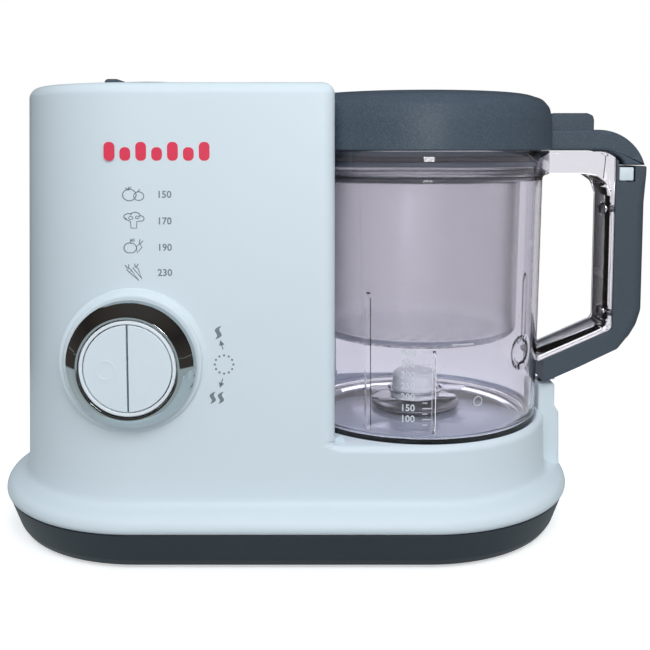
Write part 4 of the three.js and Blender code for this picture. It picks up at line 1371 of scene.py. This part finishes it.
gripScrewLook = dict(head=3.1, height=1.6, slotWidth=0.8, recess=0.9)
gripScrew = screwPart("grip_screw_part", gripScrewLook, 12.6)
gripScrews = grown("handle_screws", scatter, {
    "Part": gripScrew, "Turn": (0, math.radians(90), 0), "Material": finish["turnedSteel"]},
    [(boxMm("handle_screw_1")[0][0], 0, z) for z in grip["screwZ"]])
settle(gripScrews, finish["turnedSteel"], "jar", ["handle_screw_1", "handle_screw_2"])
bpy.data.objects.remove(gripScrew)

rod = dict(travel=3.0, thick=4.4)


def rodShape():
    def legZ(x):
        return lowTop(x) - 2.5 - grip["gap"] - rod["travel"] - 0.5

    head = slab(rounded([(146, 171), (153, 171), (153, 177.6), (146, 177.6)], 0.7, 4), "Y", -13.2, -6.8,
                0.5, 3)
    stem = brick(147.4, 150.6, -9.6, -5.2, 97.5, 172, 0.3, 0.4)
    leg = slab(rounded([(150.6, 96.4), (150.6, 100), (147.4, 100), (147.4, legZ(147.4)),
                        (111.9, legZ(111.9)), (111.9, legZ(111.9) - 3.2), (146, legZ(146) - 3.2)], 0.5, 3),
               "Y", -9.6, -5.2, 0.35, 3)
    foot = slab(rounded([(111.9, 70.4), (117.5, 70.4), (117.5, 78), (111.9, 78)], 0.6, 3), "Y", -9.6, 2.8,
                0.4, 3)
    tab = brick(145.4, 150.6, -9.6, 3.6, 134.4, 137, 0.3, 0.4)
    return joined(head, stem, leg, foot, tab)


piece("interlock_slider", rodShape(), finish["satinWhite"], "interlock_rod",
      ["interlock_rod"])
low, high = boxMm("interlock_spring")
spring = grown("interlock_spring_coil", woundWire, {
    "Turns": 4.0, "Radius": 2.2 * mm, "Height": (high[2] - low[2] - 0.9) * mm, "Wire": 0.4 * mm,
                                                    "Resolution": 28,
    "Centre": (148 * mm, 0, (low[2] + 0.45) * mm), "Material": finish["springWire"]})
settle(spring, finish["springWire"], "jar", ["interlock_spring"])
low, high = boxMm("switch_plunger")
piece("plunger_pin", brick(low[0], high[0], low[1], high[1], low[2], high[2], 0.5, 0.7),
      finish["deepBlack"], "plunger", ["switch_plunger"])
print("handle")


# blades and hub
blades = dict(thick=1.0, lowZ=58.8, highZ=63.4, lowReach=22.0, highReach=27.0)


def bladeShape(z, inner, outer, reach, lift):
    # a ring with two swept wings, ground thin along the leading edge and turned up at the tips
    ring = lathe(rounded([(inner, z), (outer, z), (outer, z + blades["thick"]),
                          (inner, z + blades["thick"])], 0.15, 2),
                 (jarX, 0, 0), "Z", 48)
    parts = [ring]
    for sign in (-1, 1):
        rows = []
        for t in spread(0, 1, 15):
            x = outer - 1.5 + (reach - outer + 1.5) * t
            back = 4.5 - 0.6 * t if t < 0.8 else 4.0 - 16 * (t - 0.8) ** 1.3
            front = -4.4 + 5.6 * ramp(t, 0.55, 1.0)
            back = max(back, front + 0.4)
            up = lift * ramp(t, 0.35, 1.0)
            section = [(front, 0.42), (front + 1.6, 0), (back, 0), (back, 1.0), (front + 1.6, 1.0),
                       (front, 0.58)]
            rows.append([(jarX + sign * x, sign * y, z + h * blades["thick"] + up) for y, h in section])
        points, faces = skin(rows)
        faces += [list(range(6))[::-1], [len(points) - 6 + i for i in range(6)]]
        parts.append((points, faces))
    return joined(*parts)


def hubShape():
    profile = rounded([(0, 73.3, 0), (9.6, 73.3, 1.4), (11.4, 71.6, 1.2), (11.4, 66.4, 0.2),
                       (11.1, 66.2, 0.1), (11.1, 65.9, 0.1), (11.4, 65.7, 0.1), (11.4, 63.1, 0.3),
                       (12.4, 63.1, 0.4), (12.4, 60.2, 0.4), (3.3, 60.2, 0.2), (3.3, 70.4, 0.2),
                       (0, 70.4, 0)], 0.3, 5)
    return lathe(profile, (jarX, 0, 0), "Z", 72)


def baseRing():
    profile = rounded([(3.3, 51.4, 0.2), (14, 51.4, 0.3), (14, 56.8, 0.2), (22, 56.8, 0.3),
                       (23, 57.5, 0.5), (21.6, 58.4, 0.6), (17, 57.9, 1), (9, 58.4, 0.6),
                       (3.3, 58.4, 0.2)], 0.3, 5)
    return lathe(profile, (jarX, 0, 0), "Z", 96)


piece("lower_blade_wings", bladeShape(blades["lowZ"], 3.3, 8, blades["lowReach"], 0.0),
      finish["bladeSteel"], "blade", ["lower_blade"], crease=25)
piece("upper_blade_wings", bladeShape(blades["highZ"], 11.8, 14, blades["highReach"], 0.0),
      finish["bladeSteel"], "blade", ["upper_blade"], crease=25)
hub = loose("blade_hub_cap", hubShape())
settle(hub, finish["hubWhite"], "blade", ["blade_hub"])
piece("blade_base_ring", baseRing(), finish["turnedSteel"], "jar", ["blade_base"])
print("blades")


# lid
lid = dict(radius=66.4, bottom=186.0, top=layout["lidTop"], armTopRadius=24.0, armSwing=1.3, armGap=0.5,
           half=13.5, tabHalf=7.0)


def lidShellShape():
    profile = rounded([(0, 213.9, 0), (40, 213.6, 30), (55, 212.6, 14), (61.5, 210.4, 6), (64.9, 206.4, 6),
                       (66.15, 200, 8), (lid["radius"], 194, 3), (lid["radius"], lid["bottom"], 0.5),
                       (63.9, lid["bottom"], 0.3), (63.9, 201, 2), (60, 207.9, 3), (54, 210.2, 4),
                       (0, 211.4, 0)], 0.5, 7)
    return lathe(profile, (jarX, 0, 0), "Z", 160)


def armShape():
    cx, cz, r = grip["cornerX"], grip["cornerZ"], lid["armTopRadius"]
    outline = [(111.4, 196, 0), (124, 196.1, 10)] + [(x, z, 0) for x, z in arc(cx, cz, r, 88, 17, 20)]
    outline += [(cx + r - 0.9, 178.7, 0.8), (cx + lid["armSwing"] + 12.1, 178.7, 0.6)]
    outline += [(x, z, 0) for x, z in arc(cx + lid["armSwing"], cz, grip["topRadius"] + lid["armGap"], 30,
                                          90, 12)]
    outline += [(111.4, cz + grip["topRadius"] + lid["armGap"], 0)]
    arm = slab(rounded(outline, 0.6, 4), "Y", -lid["half"], lid["half"], 1.5, 5)
    tabOutline = rounded([(113, 194, 0), (113, 204.4, 2), (131.6, 204.4, 1.6), (134.4, 203.2, 1.6),
                          (135, 200.8, 1.5), (135, 194, 0)], 1, 5)
    tab = slab(tabOutline, "Y", -lid["tabHalf"], lid["tabHalf"], 1.2, 4)
    return arm, tab


lidItem = loose("lid_cover", lidShellShape(), 30)
carve(lidItem, disc((-26, 0, 198), 3, -4, 20, "X", 0, 32))
armPart, tabPart = armShape()
lidArm = loose("lid_arm", armPart, 30)
carve(lidArm, tabPart, "UNION", 30)
carve(lidArm, disc((jarX, 0, 0), 64.6, 180, 205, "Z", 0, 160), crease=30)
combine(lidItem, lidArm)
settle(lidItem, finish["speckledLid"], "lid", ["lid_shell"], flow=True)


def lidInnerShape():
    profile = rounded([(0, 197.6, 0), (57.8, 197.6, 1.5), (59.2, 196, 1), (59.2, 178.4, 0.4),
                       (61.2, 178.4, 0.6), (61.2, 186, 0), (61.2, 200, 1.2), (0, 200, 0)], 0.5, 5)
    return lathe(profile, (jarX, 0, 0), "Z", 128)


piece("lid_inner_skirt", lidInnerShape(), finish["handleDark"], "lid", ["lid_inner"],
      flow=True)
piece("lid_sealing_ring", lathe(rounded([(61.7, 180.5), (62.9, 180.9), (62.9, 182.6), (61.7, 183.0)], 0.35,
                                        4),
                                (jarX, 0, 0), "Z", 96), finish["softRubber"], "lid_seal",
      ["lid_seal"])
print("lid")


# printed marks on the tower
prints = dict(lift=0.06, numberX=-69.1, numberHeight=3.1, rows=((166.6, "150"), (155.0, "170"), (143.4,
                                                                                                 "190"),
                                                                (132.3, "230")),
              iconX=-82.6, iconZ=(166.8, 155.2, 143.9, 132.4), line=0.42,
              badge=(-96.4, -48.0, 181.4, 189.6), pills=7)


def onTower(x, z, lift):
    return (x, -wallRadius(z) - lift, z)


def blob(cx, cz, rx, rz, power=1.0, steps=22, start=0, end=344):
    return [(cx + rx * math.cos(math.radians(a)), cz + rz * math.sin(math.radians(a)))
            for a in spread(start, end, steps)]


def tomatoIcon(x, z):
    w = prints["line"]
    return [strokes(blob(x - 1.7, z - 0.3, 3.0, 2.5), w, True),
            strokes(blob(x + 2.4, z - 0.8, 2.2, 1.9), w, True),
            strokes([(x - 3.4, z + 2.9), (x - 2.2, z + 1.8), (x - 0.9, z + 3.2)], w),
            strokes([(x - 2.2, z + 1.8), (x - 1.9, z + 3.3)], w),
            strokes([(x + 1.9, z + 1.1), (x + 2.9, z + 2.2)], w)]


def broccoliIcon(x, z):
    w = prints["line"]
    crown = []
    for a in spread(-15, 195, 44):
        turn = math.radians(a)
        crown.append((x + 3.9 * math.cos(turn) + 0.75 * math.cos(turn * 6),
                      z + 1.0 + 2.3 * math.sin(turn) + 0.5 * math.sin(turn * 6)))
    return [strokes(crown, w), strokes([crown[-1], (x - 1.4, z - 0.2), (x - 1.1, z - 3.2),
                                        (x + 1.3, z - 3.2), (x + 1.5, z - 0.2), crown[0]], w),
            strokes(blob(x - 1.2, z + 1.3, 0.9, 0.7, steps=12), w * 0.8, True),
            strokes(blob(x + 1.6, z + 1.5, 0.8, 0.6, steps=12), w * 0.8, True)]


def appleIcon(x, z):
    w = prints["line"]
    apple = [(x - 1.6 + (2.5 + 0.25 * math.cos(math.radians(2 * a))) * math.cos(math.radians(a)),
              z - 0.6 + (2.5 - 0.35 * abs(math.cos(math.radians(a - 90))) ** 8) * math.sin(math.radians(a)))
             for a in spread(0, 346, 30)]
    root = [(x + 1.4, z - 2.8), (x + 1.2, z + 0.2), (x + 2.6, z + 1.2), (x + 3.6, z - 0.2)]
    return [strokes(apple, w, True), strokes([(x - 1.6, z + 1.8), (x - 1.2, z + 3.4)], w),
            strokes([(x - 1.3, z + 2.6), (x + 0.2, z + 3.5), (x + 0.4, z + 2.5), (x - 1.1, z + 2.4)], w,
                    True),
            strokes(root, w, True), strokes([(x + 2.4, z + 1.3), (x + 2.7, z + 3.2)], w),
            strokes([(x + 2.8, z + 1.2), (x + 4.1, z + 2.6)], w)]


def carrotIcon(x, z):
    w = prints["line"]
    first = [(x - 3.4, z + 1.4), (x - 2.4, z + 2.0), (x - 1.2, z + 1.2), (x + 2.0, z - 3.4)]
    second = [(x - 0.6, z + 2.2), (x + 0.6, z + 2.6), (x + 1.8, z + 1.8), (x + 3.4, z - 2.6)]
    return [strokes(first, w, True), strokes(second, w, True),
            strokes([(x - 2.9, z + 2.0), (x - 4.0, z + 3.4)], w),
            strokes([(x - 2.4, z + 2.1), (x - 2.3, z + 3.7)], w),
            strokes([(x + 0.6, z + 2.7), (x + 0.2, z + 4.0)], w),
            strokes([(x + 1.0, z + 2.6), (x + 1.9, z + 3.9)], w),
            strokes([(x - 1.6, z + 0.6), (x - 0.8, z + 0.9)], w)]


def swirl(x, z, size):
    # a fat whirl, pointed at both ends, for blending
    points = []
    for t in spread(-1, 1, 17):
        middleX = 0.5 * t - 0.42 * math.sin(math.pi * t)
        width = 0.44 * (1 - t * t) ** 0.7
        points += [(x + size * (middleX - width), z + size * 1.2 * t),
                   (x + size * (middleX + width), z + size * 1.2 * t)]
    return [(points, [[2 * i, 2 * i + 1, 2 * i + 3, 2 * i + 2] for i in range(16)])]


def arrow(x0, z0, x1, z1):
    a, b = Vector((x0, z0)), Vector((x1, z1))
    d = (b - a).normalized()
    n = Vector((-d.y, d.x))
    tip = [tuple(b - d * 2.4 + n * 1.2), tuple(b), tuple(b - d * 2.4 - n * 1.2)]
    return [strokes([tuple(a), tuple(b - d * 1.2)], prints["line"] * 1.1), (tip, [[0, 1, 2]])]


grey = []
for (z, words), iconZ, icon in zip(prints["rows"], prints["iconZ"],
                                   (tomatoIcon, broccoliIcon, appleIcon, carrotIcon)):
    grey += icon(prints["iconX"], iconZ)
    grey.append(moved(textFlat(words, prints["numberHeight"]), prints["numberX"], z))
grey += swirl(-45.9, 105.9, 2.5) + arrow(-43.8, 98.4, -45.0, 102.6)
grey += arrow(-44.0, 85.4, -45.3, 81.2) + swirl(-48.5, 76.8, 2.3) + swirl(-44.9, 76.8, 2.3)
for i in range(12):
    a = math.radians(30 * i)
    grey.append(moved(together((blob(0, 0, 0.5, 0.5, steps=10, end=324), [list(range(10))])),
                      -43.4 + 4.1 * math.cos(a), 91.7 + 4.1 * math.sin(a)))
piece("tower_marks_grey", raised(together(*grey), onTower, prints["lift"]), finish["greyInk"], "housing",
      crease=60)

x0, x1, z0, z1 = prints["badge"]
pitch = (x1 - x0) / prints["pills"]
red = []
for i in range(prints["pills"]):
    tall = (z1 - z0) * (1.0 if i % 2 == 0 else 0.72)
    left, right = x0 + pitch * i + pitch * 0.16, x0 + pitch * (i + 1) - pitch * 0.16
    outline = rounded([(left, z0), (right, z0), (right, z0 + tall), (left, z0 + tall)], pitch * 0.3, 6)
    red.append((outline, [list(range(len(outline)))]))
piece("tower_marks_red", raised(together(*red), onTower, prints["lift"]), finish["redInk"], "housing",
      crease=60)
print("printed marks")


# pieces carried over from the solid model
carried = dict(
    cord_gland="deepBlack", boiler_tank="turnedSteel", boiler_seal="sealSilicone",
               heating_plate="castAluminium",
    heater_element="turnedSteel", thermostat="deepBlack", steam_pipe="sealSilicone",
               steam_outlet="hubWhite",
    button_switches="deepBlack", rotary_switch="deepBlack", control_board="circuitGreen",
    ring_return_spring="springWire", off_spring="springWire", on_spring="springWire",
               motor_mount="castAluminium",
    motor_stator="windingCopper", upper_bearing="turnedSteel", lower_bearing="turnedSteel",
    spill_seal="softRubber", micro_switch="deepBlack", motor_rotor="turnedSteel", motor_shaft="turnedSteel",
    cooling_fan="deepBlack", drive_coupling="deepBlack", tank_cap_seal="softRubber",
               blade_seal="softRubber",
    blade_shaft="turnedSteel", driven_coupling="deepBlack",
)
for name, look in carried.items():
    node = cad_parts[name]
    node.data.materials.clear()
    node.data.materials.append(finish[look])
left = sorted(n for n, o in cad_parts.items() if not o.hide_render and n not in carried)
print("carried over", len(carried), "without a finish:", left)


# stage
studio = dict(floorSize=12.0, floorNear=0.2, floorFar=0.55, floorGlow=0.5, floorBounce=0.3, cardNear=0.38,
              cardFar=0.42, worldFill=0.6, worldLow=0.41, topPower=0.3, frontPower=3.1, sidePower=0.6,
              sheenPower=3.4, backPower=3.0)
floorMesh = bpy.data.meshes.new("floor")
half = studio["floorSize"] / 2
floorMesh.from_pydata([(-half, -half, 0), (half, -half, 0), (half, half, 0), (-half, half, 0)], [],
                      [[0, 1, 2, 3]])
floor = bpy.data.objects.new("floor", floorMesh)
scene.collection.objects.link(floor)
paleFloor, floorTree, floorShader = blank("paleFloor")
floorGrain = use(floorTree, moulded, {"Colour": (0.93, 0.93, 0.93, 1), "Shade": (0.91, 0.91, 0.91, 1),
                                      "Mottle Scale": 2.0, "Grain Scale": 300.0, "Roughness": 0.9,
                                      "Roughness Spread": 0.02})
floorPlace = floorTree.nodes.new("ShaderNodeTexCoord")
floorAway = floorTree.nodes.new("ShaderNodeVectorMath")
floorAway.operation = "LENGTH"
wire(floorTree, floorPlace.outputs["Object"], floorAway.inputs[0])
floorFade = floorTree.nodes.new("ShaderNodeMapRange")
floorFade.interpolation_type = "SMOOTHSTEP"
floorFade.inputs["From Min"].default_value = studio["floorNear"]
floorFade.inputs["From Max"].default_value = studio["floorFar"]
wire(floorTree, floorAway.outputs["Value"], floorFade.inputs["Value"])
floorGlow = floorTree.nodes.new("ShaderNodeEmission")
floorMix = floorTree.nodes.new("ShaderNodeMixShader")
wire(floorTree, floorGrain.outputs["Colour"], floorShader.inputs["Base Color"])
wire(floorTree, floorGrain.outputs["Roughness"], floorShader.inputs["Roughness"])
floorShader.inputs["Specular IOR Level"].default_value = 0.1
floorShader.inputs["Emission Color"].default_value = (1, 1, 1, 1)
floorShader.inputs["Emission Strength"].default_value = studio["floorGlow"]
wire(floorTree, floorFade.outputs["Result"], floorMix.inputs["Fac"])
wire(floorTree, floorShader.outputs["BSDF"], floorMix.inputs[1])
wire(floorTree, floorGlow.outputs["Emission"], floorMix.inputs[2])
# only what the camera sees is that bright: the light the floor throws back stays low
floorRay = floorTree.nodes.new("ShaderNodeLightPath")
floorSeen = mathNode(floorTree, "MAXIMUM", floorRay.outputs["Is Camera Ray"],
                     floorRay.outputs["Is Transmission Ray"])
floorDull = floorTree.nodes.new("ShaderNodeBsdfDiffuse")
floorDull.inputs["Color"].default_value = (*[studio["floorBounce"]] * 3, 1)
# the chrome sees a pale card round the knob's foot and dark air beyond it
cardPlace = floorTree.nodes.new("ShaderNodeVectorMath")
cardPlace.operation = "DISTANCE"
cardPlace.inputs[1].default_value = (layout["towerX"] / 1000, -0.07, 0)
wire(floorTree, floorPlace.outputs["Object"], cardPlace.inputs[0])
cardEdge = floorTree.nodes.new("ShaderNodeMapRange")
cardEdge.inputs["From Min"].default_value = studio["cardNear"]
cardEdge.inputs["From Max"].default_value = studio["cardFar"]
wire(floorTree, cardPlace.outputs["Value"], cardEdge.inputs["Value"])
cardGlow = floorTree.nodes.new("ShaderNodeEmission")
cardTone = floorTree.nodes.new("ShaderNodeMix")
cardTone.data_type = "RGBA"
cardTone.inputs[6].default_value = (0.46, 0.52, 0.54, 1)
cardTone.inputs[7].default_value = (0.06, 0.05, 0.045, 1)
wire(floorTree, cardEdge.outputs["Result"], cardTone.inputs["Factor"])
wire(floorTree, cardTone.outputs[2], cardGlow.inputs["Color"])
floorMirror = floorTree.nodes.new("ShaderNodeMixShader")
wire(floorTree, floorRay.outputs["Is Glossy Ray"], floorMirror.inputs["Fac"])
wire(floorTree, floorDull.outputs["BSDF"], floorMirror.inputs[1])
wire(floorTree, cardGlow.outputs["Emission"], floorMirror.inputs[2])
floorPick = floorTree.nodes.new("ShaderNodeMixShader")
wire(floorTree, floorSeen, floorPick.inputs["Fac"])
wire(floorTree, floorMirror.outputs["Shader"], floorPick.inputs[1])
wire(floorTree, floorMix.outputs["Shader"], floorPick.inputs[2])
wire(floorTree, floorPick.outputs["Shader"], floorTree.nodes["Material Output"].inputs["Surface"])
floorMesh.materials.append(paleFloor)


def areaLight(name, place, target, size, power, tint=(1, 1, 1), mirrored=False):
    lamp = bpy.data.lights.new(name, "AREA")
    lamp.shape = "RECTANGLE"
    lamp.size, lamp.size_y = size
    lamp.energy = power
    lamp.color = tint
    item = bpy.data.objects.new(name, lamp)
    item.location = place
    item.rotation_euler = (Vector(target) - Vector(place)).to_track_quat("-Z", "Y").to_euler()
    item.visible_glossy = mirrored
    scene.collection.objects.link(item)
    return item


areaLight("overhead", (-0.05, -0.25, 1.15), (0.0, 0.0, 0.12), (1.0, 0.7), studio["topPower"],
          (0.97, 0.99, 1.0))
areaLight("high front", (0.05, -0.62, 0.62), (-0.05, 0.0, 0.2), (0.6, 0.3), studio["frontPower"],
          (0.94, 0.98, 1.0))
areaLight("back fill", (0.2, 1.1, 0.75), (0.0, 0.0, 0.1), (0.9, 0.6), studio["backPower"],
          (0.96, 0.98, 1.0))
areaLight("right edge", (1.1, -0.35, 0.4), (0.05, 0.0, 0.08), (0.5, 0.6), studio["sidePower"],
          (1.0, 0.97, 0.88))
areaLight("lid sheen", (0.16, -1.6, 0.42), (0.05, 0.0, 0.19), (0.22, 0.3), studio["sheenPower"],
          mirrored=True)

world = bpy.data.worlds.new("studio air")
scene.world = world
world.use_nodes = True
airTree = world.node_tree
airTree.nodes.clear()
airOut = airTree.nodes.new("ShaderNodeOutputWorld")
seen = airTree.nodes.new("ShaderNodeBackground")
fill = airTree.nodes.new("ShaderNodeBackground")
mirrorAir = airTree.nodes.new("ShaderNodeBackground")
rayKind = airTree.nodes.new("ShaderNodeLightPath")
heading = airTree.nodes.new("ShaderNodeTexCoord")
split = airTree.nodes.new("ShaderNodeSeparateXYZ")
bands = airTree.nodes.new("ShaderNodeValToRGB")
wire(airTree, heading.outputs["Generated"], split.inputs["Vector"])
lift = mathNode(airTree, "MULTIPLY", mathNode(airTree, "ADD", split.outputs["Z"], 1.0), 0.5)
wire(airTree, lift, bands.inputs["Fac"])
stops = [(0.0, (0.62, 0.65, 0.66)), (0.49, (0.5, 0.54, 0.55)), (0.498, (0.06, 0.05, 0.045)),
         (0.72, (0.03, 0.025, 0.022)), (0.9, (0.055, 0.045, 0.04)), (1.0, (0.07, 0.06, 0.055))]
while len(bands.color_ramp.elements) > 1:
    bands.color_ramp.elements.remove(bands.color_ramp.elements[-1])
bands.color_ramp.elements[0].position = stops[0][0]
bands.color_ramp.elements[0].color = (*stops[0][1], 1)
for place, tone in stops[1:]:
    bands.color_ramp.elements.new(place).color = (*tone, 1)
wire(airTree, bands.outputs["Color"], mirrorAir.inputs["Color"])
seen.inputs["Color"].default_value = (1, 1, 1, 1)
fill.inputs["Color"].default_value = (0.86, 0.94, 1.0, 1)
# more of the fill comes from above than from below
fillLift = airTree.nodes.new("ShaderNodeMapRange")
fillLift.inputs["From Min"].default_value = -0.3
fillLift.inputs["From Max"].default_value = 0.7
fillLift.inputs["To Min"].default_value = studio["worldLow"]
fillLift.inputs["To Max"].default_value = studio["worldFill"]
wire(airTree, split.outputs["Z"], fillLift.inputs["Value"])
wire(airTree, fillLift.outputs["Result"], fill.inputs["Strength"])
first = airTree.nodes.new("ShaderNodeMixShader")
second = airTree.nodes.new("ShaderNodeMixShader")
clearView = mathNode(airTree, "MAXIMUM", rayKind.outputs["Is Camera Ray"],
                     rayKind.outputs["Is Transmission Ray"])
wire(airTree, rayKind.outputs["Is Glossy Ray"], first.inputs["Fac"])
wire(airTree, fill.outputs["Background"], first.inputs[1])
wire(airTree, mirrorAir.outputs["Background"], first.inputs[2])
wire(airTree, clearView, second.inputs["Fac"])
wire(airTree, first.outputs["Shader"], second.inputs[1])
wire(airTree, seen.outputs["Background"], second.inputs[2])
wire(airTree, second.outputs["Shader"], airOut.inputs["Surface"])

camera = bpy.data.cameras.new("camera")
camera.lens = 48.3
camera.sensor_width = 36.0
camera.shift_y = -0.159
camera.clip_start = 0.01
viewer = bpy.data.objects.new("camera", camera)
viewer.location = (0.00116, -0.44235, 0.1861)
viewer.rotation_euler = (math.radians(90 - 4.7), 0, 0)
scene.collection.objects.link(viewer)
scene.camera = viewer
scene.view_settings.view_transform = "Standard"
print("stage ready")
